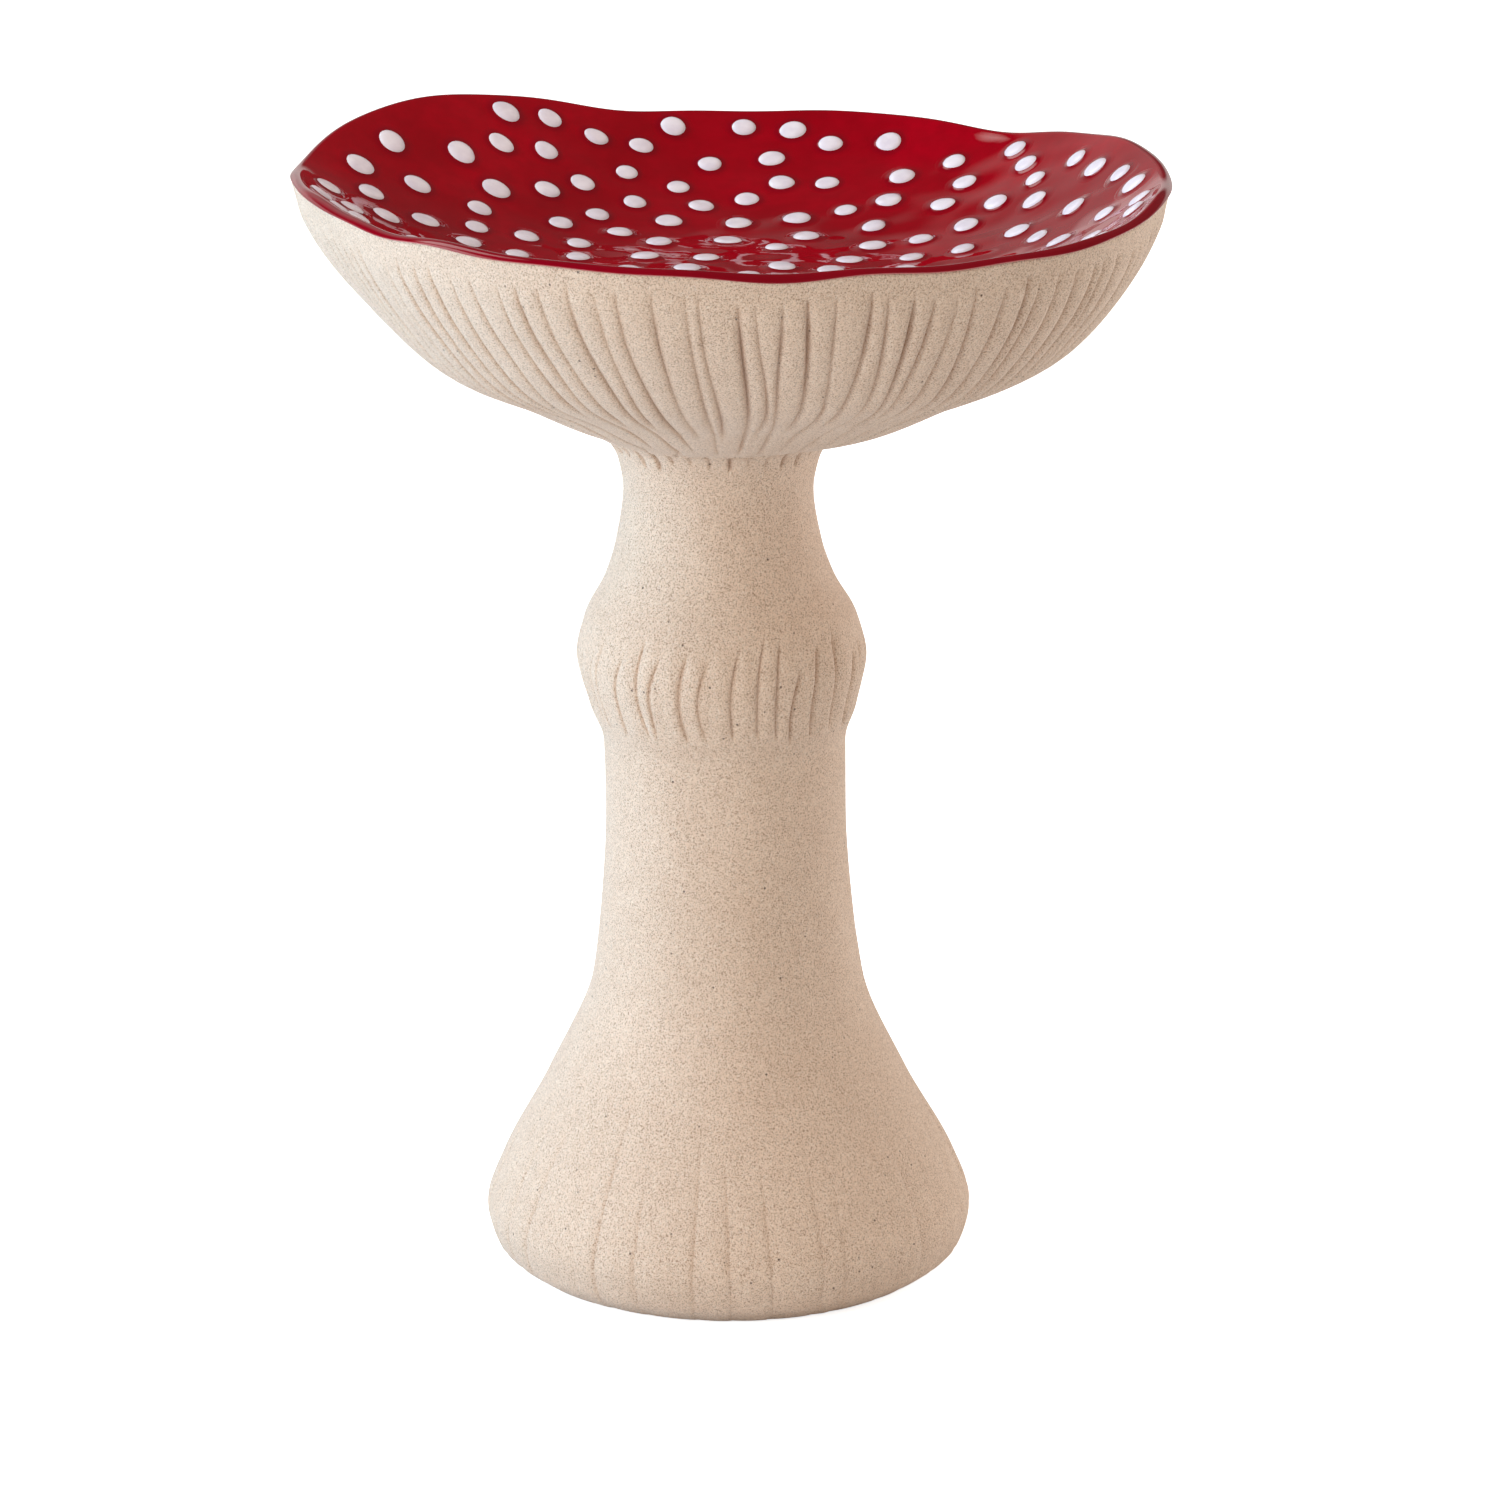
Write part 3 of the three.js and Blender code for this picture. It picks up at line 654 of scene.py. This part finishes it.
def bowl_creases(random):
    """A function of the radius and the way to the lip: the columns' angles there, and the gills' cut."""
    gill = np.arange(GILL_COUNT)
    sways = random.uniform(-1, 1, (3, GILL_COUNT)) * GILL_WANDER
    phases = random.uniform(0, 2 * math.pi, (2, GILL_COUNT))
    deep = random.uniform(*GILL_STRENGTH, GILL_COUNT) * deeper_side(gill_lines)
    top = GILL_BAND + random.uniform(*GILL_STARTS, GILL_COUNT)
    short_end = random.uniform(*SHORT_GILLS, GILL_COUNT)
    middle_end = random.uniform(*MIDDLE_GILLS, GILL_COUNT)

    def faded(radius, end, chosen):
        return np.where(chosen, smooth_step(radius, end - GILL_END_FADE, end + GILL_END_FADE), 1)

    def columns_at(radius, to_lip):
        along = (radius - SEAT_RADIUS) / (lip_foot[0] - SEAT_RADIUS)
        sway = sways[0] + sways[1] * np.sin(5 * along + phases[0])
        sway = sway + 0.4 * sways[2] * np.sin(10 * along + phases[1])
        sway = sway * smooth_step(along, 0, 0.4)
        angles, away = columns_along(gill_lines + sway * 2 * math.pi / GILL_COUNT, gill_place)
        strength = deep * sum(share * smooth_step(to_lip, top, top + way) for share, way in GILL_RISE)
        strength = strength * faded(radius, short_end, gill % 2 == 1)
        strength = strength * faded(radius, middle_end, gill % 4 == 2)
        strength = strength * (0.85 + 0.25 * np.sin(9 * along + 2 * phases[1]))
        depth = np.interp(along, (0, 1), GILL_DEPTH) * np.repeat(strength, GILL_EACH)
        width = np.interp(along, (0, 1), GILL_WIDTH)
        return angles, depth * crease_depth(away * radius, width)

    return columns_at


def bowl_object(material):
    columns_at = bowl_creases(np.random.default_rng(GILL_SEED))

    def gill_ring(radius, to_lip):
        angle, cut = columns_at(radius, to_lip)
        inside = smooth_step(to_lip, GILL_BAND, GILL_BAND + 8) * smooth_step(radius, *SHORT_GILLS)
        between_gills = np.sin(math.pi * gill_place.ravel()) ** 2
        swell = GILL_SWELL * inside * between_gills
        calm = smooth_step(radius, SEAT_RADIUS, SEAT_RADIUS + 25) * smooth_step(to_lip, 0, 12)
        uneven = calm * ripple(radius * np.cos(angle), radius * np.sin(angle), *BOWL_RIPPLE)
        bead = 0.5 * math.exp(-((radius - SEAT_RADIUS - 1.4) ** 2))
        points = underside_point(radius, cut - swell + uneven - bead, angle)
        # Painted shade in the gills, darker where they cut deeper
        return with_creases(points, np.clip(GILL_SHADE * cut / GILL_DEPTH[1], 0, 1))

    def even(radius, height):
        """A level round ring of the spigot or the seat."""
        x = SEAT_LEAN + radius * np.cos(bowl_angles)
        y = MIDDLE_Y + radius * np.sin(bowl_angles)
        return points_of(x, y, height)

    spigot_radius = MOUTH_RADIUS - SPIGOT_CLEARANCE
    bore_radius = spigot_radius - SPIGOT_WALL
    spigot_end = SEAT_HEIGHT - SPIGOT_LENGTH
    roof_depth = CLAY_DEPTH + BOWL_WALL
    tip = CAVITY_REACH - BOWL_WALL * math.sin(steepness(underside_height, CAVITY_REACH))

    rings = [dish_point(np.zeros(1), roof_depth, np.zeros(1))]
    rings += [dish_point(share * tip, roof_depth, bowl_angles) for share in (0.4, 0.7, 0.95)]
    for share in (1, 0.75, 0.45, 0.15):
        radius = SEAT_RADIUS + (CAVITY_REACH - SEAT_RADIUS) * share
        rings.append(underside_point(radius, BOWL_WALL, bowl_angles))
    rings += [
        even(bore_radius, SEAT_HEIGHT + BOWL_WALL),
        even(bore_radius, spigot_end),
        even(spigot_radius - SPIGOT_CHAMFER, spigot_end),
        even(spigot_radius, spigot_end + SPIGOT_CHAMFER),
        even(spigot_radius, SEAT_HEIGHT),
        even(SEAT_RADIUS, SEAT_HEIGHT),
    ]
    underside_length = underside_arc[-1]
    for mark in spans((0, 0.7), (3.5, 2.7), (underside_length - 22, 1.2), (underside_length, 1)):
        radius = float(np.interp(mark, underside_arc, underside_rows))
        rings.append(gill_ring(radius, underside_length - mark))
    for turn in np.linspace(LIP_FOOT, LIP_INNER, 11)[1:]:
        rings.append(lip_point(turn, SKIN_RADIUS - LIP_RADIUS, bowl_angles))
    # The glaze hides the clay of the dish, so its rows lie far apart
    for share in (0.95, 0.89, 0.82, 0.74, 0.66, 0.58, 0.5, 0.42, 0.33, 0.05):
        rings.append(dish_point(share * wall_top[0], CLAY_DEPTH, bowl_angles))
    rings.append(dish_point(np.zeros(1), CLAY_DEPTH, np.zeros(1)))
    return loft("bowl_clay", rings, [material])


# Glaze

def glaze_unevenness(radius, angle):
    """The glaze pools and thins a little, which bends what it mirrors."""
    x, y = radius * np.cos(angle), radius * np.sin(angle)
    calm = 1 - smooth_step(radius, wall_top[0] - 12, wall_top[0])
    return calm * sum(ripple(x, y, *one) for one in GLAZE_RIPPLES)


def glaze_surface(radius, angle, depth=0.0):
    return dish_point(radius, depth - glaze_unevenness(radius, angle), angle)


def glaze_object(material):
    """The glaze layer: out along its lower face, round its edge on the lip, and back along its top."""
    angles = np.arange(GLAZE_COLUMNS) * 2 * math.pi / GLAZE_COLUMNS
    edge = GLAZE_EDGE + wave(EDGE_WAVES, angles)
    centre = np.zeros(1)
    rows = spans((4, 4), (60, 2.4), (wall_top[0], 1))
    shares = np.linspace(0, 1, 16)

    def on_lip(share, depth):
        """A ring some share of the way over the lip, from the dish to the glaze's edge."""
        return lip_point(LIP_INNER + (edge - LIP_INNER) * share, depth, angles)

    under = [glaze_surface(centre, centre, GLAZE_THICKNESS)]
    under += [glaze_surface(row, angles, GLAZE_THICKNESS) for row in rows[::3]]
    under += [on_lip(share, GLAZE_THICKNESS) for share in shares[1::2]]
    bead = [
        with_creases(lip_point(edge - past, depth, angles), thin) for past, depth, thin in GLAZE_BEAD
    ]
    over = [
        with_creases(on_lip(share, 0), 0.5 * smooth_step(share, 0, 0.6)) for share in shares[::-1][:-1]
    ]
    over += [glaze_surface(row, angles) for row in rows[::-1]]
    over.append(glaze_surface(centre, centre))
    return loft("red_glaze", under + bead + over, [material])


# Dots

def random_numbers(seed):
    """Repeatable random numbers from 0 to 1, which place the dots as the part has them."""
    state = seed
    while True:
        state = (state * 1664525 + 1013904223) % 2**32
        yield state / 2**32


def dot_places():
    """Radius, angle, size and place of each dot, at random but no two closer than their spacing."""
    random = random_numbers(DOT_SEED)
    places = []
    for _ in range(DOT_TRIES):
        radius = (wall_top[0] - DOT_EDGE) * math.sqrt(next(random))
        angle = 2 * math.pi * next(random)
        size = DOT_SIZES[0] + (DOT_SIZES[1] - DOT_SIZES[0]) * next(random)
        flat = (radius * math.cos(angle), radius * math.sin(angle), float(dish_height(radius)))
        if all(math.dist(flat, other[3]) > DOT_SPACING for other in places):
            places.append((radius, angle, size, flat))
    return places


def dots_object(white, red):
    """All the dots in one mesh, each a closed white dome with the red glaze that gathers round it."""
    random = np.random.default_rng(DOT_SHAPE_SEED)
    turns = np.arange(DOT_SIDES) * 2 * math.pi / DOT_SIDES
    profile = DOT_PROFILE + MENISCUS + [(0.9, -DOT_ROOT / DOT_HEIGHT)]
    points, faces, slots = [], [], []
    for radius, angle, size, _ in dot_places():
        oval = random.uniform(*DOT_OVAL)
        lobes = random.uniform(*DOT_LOBES)
        phase = random.uniform(0, 2 * math.pi, 2)
        outline = 1 + oval * np.cos(2 * turns - phase[0]) + lobes * np.cos(3 * turns - phase[1])
        tall = DOT_HEIGHT * random.uniform(*DOT_HEIGHTS)
        flatter = math.cos(float(steepness(dish_height, radius)))

        def on_glaze(reach):
            """Points of the glaze round the dot's middle, at a distance along the glaze."""
            out = radius + reach * np.cos(turns) * flatter
            aside = reach * np.sin(turns)
            place = np.minimum(np.hypot(out, aside), wall_top[0])
            return glaze_surface(place, angle + np.arctan2(aside, out))

        # The glaze close to its middle says which way the dot faces
        near = on_glaze(1.5)
        middle = near.mean(axis=0)
        up = np.cross(near[0] - near[DOT_SIDES // 2], near[DOT_SIDES // 4] - near[-DOT_SIDES // 4])
        up /= np.linalg.norm(up)
        start = len(points)
        points.append(np.append(middle + up * tall, 0))
        for reach, lift in profile:
            ring = on_glaze(size * DOT_RADIUS * reach * outline) + up * tall * lift
            # The glaze round the dot carries a painted shade, fading out with reach
            points.extend(with_creases(ring, DOT_RING_SHADE * (1 - smooth_step(reach, *DOT_RING_SHADE_FADE))))
        points.append(np.append(middle - up * DOT_ROOT, 0))
        counts = [1] + [DOT_SIDES] * len(profile) + [1]
        starts = start + np.cumsum([0] + counts)
        for k in range(len(counts) - 1):
            made = faces_between(starts[k + 1], counts[k + 1], starts[k], counts[k])
            faces += made
            slots += [1 if k >= len(DOT_PROFILE) else 0] * len(made)
    return mesh_object("glaze_dots", points, faces, [white, red], slots)


# Materials

def new_material(name):
    material = bpy.data.materials.new(name)
    material.use_nodes = True
    return material, material.node_tree.nodes, material.node_tree.links


def linear(colour):
    """A screen's colour, from 0 to 255, in the units that shaders take."""
    shares = [level / 255 for level in colour]
    lit = [share / 12.92 if share <= 0.04045 else ((share + 0.055) / 1.055) ** 2.4 for share in shares]
    return (*lit, 1)


def noise(nodes, links, place, scale, detail=2, roughness=0.5):
    node = nodes.new("ShaderNodeTexNoise")
    node.inputs["Scale"].default_value = scale
    node.inputs["Detail"].default_value = detail
    node.inputs["Roughness"].default_value = roughness
    links.new(place.outputs["Object"], node.inputs["Vector"])
    return node.outputs["Fac"]


def spread(nodes, links, source, low, high, out_low=0.0, out_high=1.0):
    """Values from low to high, spread evenly from out_low to out_high and held there beyond them."""
    node = nodes.new("ShaderNodeMapRange")
    for socket, value in (("From Min", low), ("From Max", high), ("To Min", out_low), ("To Max", out_high)):
        node.inputs[socket].default_value = value
    links.new(source, node.inputs["Value"])
    return node.outputs["Result"]


def feed(links, socket, value):
    """Give a socket a number or colour, or link it to what another node puts out."""
    if isinstance(value, (float, tuple)):
        socket.default_value = value
    else:
        links.new(value, socket)


def blend_colours(nodes, links, share, first, second):
    """A share of the way from one colour to another."""
    node = nodes.new("ShaderNodeMix")
    node.data_type = "RGBA"
    for index, value in ((0, share), (6, first), (7, second)):
        feed(links, node.inputs[index], value)
    return node.outputs[2]


def blend_numbers(nodes, links, share, first, second):
    """A share of the way from one number to another."""
    node = nodes.new("ShaderNodeMix")
    for index, value in ((0, share), (2, first), (3, second)):
        feed(links, node.inputs[index], value)
    return node.outputs[0]


def combined(nodes, links, operation, first, second):
    """One number out of two."""
    node = nodes.new("ShaderNodeMath")
    node.operation = operation
    for index, value in ((0, first), (1, second)):
        feed(links, node.inputs[index], value)
    return node.outputs[0]


def crease_share(nodes):
    """What mesh_object stores in a point: how dark the painted shade in a crease or round a dot is, and on
    the glaze its lip and edge.
    """
    node = nodes.new("ShaderNodeAttribute")
    node.attribute_name = "crease"
    return node.outputs["Fac"]


def bumped(nodes, links, source, strength, distance, under=None, invert=False):
    """A bump in metres, laid over another one."""
    bump = nodes.new("ShaderNodeBump")
    bump.invert = invert
    bump.inputs["Strength"].default_value = strength
    bump.inputs["Distance"].default_value = distance
    links.new(source, bump.inputs["Height"])
    if under is not None:
        links.new(under, bump.inputs["Normal"])
    return bump.outputs["Normal"]


def stoneware_material():
    """Bare, sandy stoneware: warm and pale, with a coarse grain, iron specks, pinholes and painted shade in
    its creases.
    """
    material, nodes, links = new_material("bare_stoneware")
    shader = nodes["Principled BSDF"]
    place = nodes.new("ShaderNodeTexCoord")
    cloudy = noise(nodes, links, place, scale=14, detail=3)
    mottled = noise(nodes, links, place, scale=95, detail=3, roughness=0.6)
    sandy = noise(nodes, links, place, scale=1350, roughness=0.6)
    grain = noise(nodes, links, place, scale=900, detail=1)

    clouds = spread(nodes, links, cloudy, 0.35, 0.65)
    colour = blend_colours(nodes, links, clouds, linear(WARM_CLAY), linear(PALE_CLAY))
    tint = spread(nodes, links, mottled, 0.3, 0.7, 0, 0.5)
    colour = blend_colours(nodes, links, tint, colour, linear(CLAY_TINT))
    dark = spread(nodes, links, sandy, 0.34, 0.52, 0.9, 0)
    colour = blend_colours(nodes, links, dark, colour, linear(DARK_GRAIN))
    light = spread(nodes, links, grain, 0.52, 0.70, 0, 0.4)
    colour = blend_colours(nodes, links, light, colour, linear(LIGHT_GRAIN))

    # Painted shade in the creases, darker where they cut deeper
    shade = spread(nodes, links, crease_share(nodes), 0.15, 1, 0, 0.55)
    colour = blend_colours(nodes, links, shade, colour, linear(CREASE_SHADE))

    cells = nodes.new("ShaderNodeTexVoronoi")
    cells.inputs["Scale"].default_value = 150
    links.new(place.outputs["Object"], cells.inputs["Vector"])
    chosen = nodes.new("ShaderNodeSeparateColor")
    links.new(cells.outputs["Color"], chosen.inputs["Color"])
    rare = spread(nodes, links, chosen.outputs["Red"], 0.68, 0.76)
    near = spread(nodes, links, cells.outputs["Distance"], 0.06, 0.10, 1, 0)
    speck = combined(nodes, links, "MULTIPLY", rare, near)
    strong = combined(nodes, links, "MULTIPLY", speck, 0.85)
    colour = blend_colours(nodes, links, strong, colour, linear(IRON_SPECK))

    links.new(colour, shader.inputs["Base Color"])
    links.new(spread(nodes, links, sandy, 0.3, 0.7, 0.82, 0.97), shader.inputs["Roughness"])
    shader.inputs["Specular IOR Level"].default_value = 0.3
    shader.inputs["Sheen Weight"].default_value = 0.15
    shader.inputs["Sheen Roughness"].default_value = 0.5

    lumps = bumped(nodes, links, mottled, strength=0.4, distance=0.0011)
    grit = bumped(nodes, links, sandy, strength=1.0, distance=0.00055, under=lumps)
    pits = bumped(nodes, links, speck, strength=0.7, distance=0.0006, under=grit, invert=True)
    links.new(pits, shader.inputs["Normal"])
    return material


def red_glaze_material():
    """Deep red gloss glaze, darker at random where it pools, darker on the lip and in a painted shade round
    each dot, and pale where it ends in a thin edge.
    """
    material, nodes, links = new_material("red_gloss_glaze")
    shader = nodes["Principled BSDF"]
    place = nodes.new("ShaderNodeTexCoord")
    cloudy = noise(nodes, links, place, scale=16, detail=3)
    fine = noise(nodes, links, place, scale=130, detail=3)
    clouds = spread(nodes, links, cloudy, 0.35, 0.65)
    colour = blend_colours(nodes, links, clouds, linear(BRIGHT_RED), linear(DEEP_RED))
    pools = spread(nodes, links, fine, 0.35, 0.7, 0, 0.35)
    colour = blend_colours(nodes, links, pools, colour, linear(POOLED_RED))
    stored = crease_share(nodes)
    # Darker on the lip, and in a painted shade round each dot
    on_lip = spread(nodes, links, stored, 0, 0.5, 0, 0.6)
    colour = blend_colours(nodes, links, on_lip, colour, linear(LIP_AND_DOT_SHADE_RED))
    at_edge = spread(nodes, links, stored, 0.5, 0.9, 0, 0.75)
    colour = blend_colours(nodes, links, at_edge, colour, linear(THIN_RED))
    links.new(colour, shader.inputs["Base Color"])
    links.new(spread(nodes, links, fine, 0.3, 0.7, 0.015, 0.04), shader.inputs["Roughness"])
    shader.inputs["IOR"].default_value = 1.5
    links.new(bumped(nodes, links, fine, strength=0.06, distance=0.0006), shader.inputs["Normal"])
    return material


def white_glaze_material():
    """Off-white glaze of the dots: glossy, faintly lilac, with soft lumps."""
    material, nodes, links = new_material("white_gloss_glaze")
    shader = nodes["Principled BSDF"]
    place = nodes.new("ShaderNodeTexCoord")
    cloudy = noise(nodes, links, place, scale=120, detail=3)
    fine = noise(nodes, links, place, scale=420)
    clouds = spread(nodes, links, cloudy, 0.35, 0.65)
    colour = blend_colours(nodes, links, clouds, linear(DOT_WHITE), linear(DOT_LILAC))
    links.new(colour, shader.inputs["Base Color"])
    links.new(spread(nodes, links, fine, 0.3, 0.7, 0.14, 0.26), shader.inputs["Roughness"])
    links.new(bumped(nodes, links, fine, strength=0.25, distance=0.0004), shader.inputs["Normal"])
    return material


# Stage, lamps and camera

def floor_object():
    """A pale floor that shows white to the camera and keeps a soft shadow."""
    reach = FLOOR_REACH
    corners = [(-reach, -reach, 0), (reach, -reach, 0), (reach, reach, 0), (-reach, reach, 0)]
    mesh = bpy.data.meshes.new("floor")
    mesh.from_pydata(corners, [], [(0, 1, 2, 3)])
    floor = bpy.data.objects.new("floor", mesh)
    floor.location.z = -FLOOR_DROP
    bpy.context.scene.collection.objects.link(floor)
    material, nodes, links = new_material("pale_floor")
    nodes["Principled BSDF"].inputs["Base Color"].default_value = FLOOR_GREY
    nodes["Principled BSDF"].inputs["Roughness"].default_value = 0.9
    glow = nodes.new("ShaderNodeEmission")
    rays = nodes.new("ShaderNodeLightPath")
    strength = combined(nodes, links, "MULTIPLY", rays.outputs["Is Camera Ray"], FLOOR_GLOW)
    links.new(strength, glow.inputs["Strength"])
    both = nodes.new("ShaderNodeAddShader")
    links.new(nodes["Principled BSDF"].outputs["BSDF"], both.inputs[0])
    links.new(glow.outputs["Emission"], both.inputs[1])
    links.new(both.outputs["Shader"], nodes["Material Output"].inputs["Surface"])
    mesh.materials.append(material)


def towards(nodes, links, heading, bearing, climb):
    """The cosine of the angle between a direction of the world and a bearing and climb in degrees."""
    node = nodes.new("ShaderNodeVectorMath")
    node.operation = "DOT_PRODUCT"
    links.new(heading.outputs["Generated"], node.inputs[0])
    bearing, climb = math.radians(bearing), math.radians(climb)
    flat = math.cos(climb)
    node.inputs[1].default_value = (flat * math.cos(bearing), flat * math.sin(bearing), math.sin(climb))
    return node.outputs["Value"]


def world_light():
    """White behind the object for the camera, a bright room for its sides, and a dim one in its gloss."""
    world = bpy.data.worlds.new("studio")
    bpy.context.scene.world = world
    world.use_nodes = True
    nodes, links = world.node_tree.nodes, world.node_tree.links
    background = nodes["Background"]
    rays = nodes.new("ShaderNodeLightPath")
    heading = nodes.new("ShaderNodeTexCoord")
    parts = nodes.new("ShaderNodeSeparateXYZ")
    links.new(heading.outputs["Generated"], parts.inputs["Vector"])
    shade = towards(nodes, links, heading, ROOM_SHADE, 0)
    room = spread(nodes, links, shade, -1, 1, *ROOM_LIGHT)
    share = spread(nodes, links, shade, -1, 1)
    links.new(blend_colours(nodes, links, share, *ROOM_COLOURS), background.inputs["Color"])
    low = spread(nodes, links, parts.outputs["Z"], *BACKDROP_TOP, 1, 0)
    behind = spread(nodes, links, parts.outputs["Y"], *BACKDROP_SIDES)
    dim = spread(nodes, links, parts.outputs["X"], -0.5, 0.5, *GLOSS_LIGHT)
    backdrop = combined(nodes, links, "MULTIPLY", low, behind)
    gloss = blend_numbers(nodes, links, backdrop, dim, GLOSS_BACKDROP)
    for power, bearing, climb, inner, outer in GLOSS_SOFTBOXES:
        near = towards(nodes, links, heading, bearing, climb)
        edge, full = math.cos(math.radians(outer)), math.cos(math.radians(inner))
        patch = spread(nodes, links, near, edge, full, 0, power)
        gloss = combined(nodes, links, "ADD", gloss, patch)
    strength = blend_numbers(nodes, links, rays.outputs["Is Glossy Ray"], room, gloss)
    strength = blend_numbers(nodes, links, rays.outputs["Is Camera Ray"], strength, 1.0)
    links.new(strength, background.inputs["Strength"])


def softbox(name, place, target, width, height, power, colour):
    """A soft lamp. Its tint doesn't show in the gloss, which mirrors the world's white soft lights."""
    data = bpy.data.lights.new(name, "AREA")
    data.shape = "RECTANGLE"
    data.size, data.size_y = width, height
    data.energy = power
    data.color = colour
    lamp = bpy.data.objects.new(name, data)
    lamp.location = place
    direction = np.subtract(target, place)
    lamp.rotation_mode = "QUATERNION"
    lamp.rotation_quaternion = Vector(direction).to_track_quat("-Z", "Y")
    lamp.visible_glossy = False
    bpy.context.scene.collection.objects.link(lamp)


def camera_object():
    data = bpy.data.cameras.new("camera")
    data.sensor_width = SENSOR
    data.lens = CAMERA_LENS
    data.clip_start, data.clip_end = 0.1, 100
    camera = bpy.data.objects.new("camera", data)
    camera.location = [value * MM for value in CAMERA_PLACE]
    camera.rotation_euler = (math.radians(90 - CAMERA_DIP), 0, 0)
    bpy.context.scene.collection.objects.link(camera)
    bpy.context.scene.camera = camera


camera_object()
world_light()
floor_object()
for box in SOFTBOXES:
    softbox(*box)

stoneware = stoneware_material()
red_glaze = red_glaze_material()
white_glaze = white_glaze_material()

pedestal_clay = pedestal_object(stoneware)
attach(pedestal_clay, "pedestal")
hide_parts("pedestal")

bowl_clay = bowl_object(stoneware)
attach(bowl_clay, "bowl")
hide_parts("bowl")

glaze = glaze_object(red_glaze)
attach(glaze, "bowl")
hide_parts("glaze_lining")

dots = dots_object(white_glaze, red_glaze)
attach(dots, "bowl")

bpy.context.scene.view_settings.view_transform = "Standard"
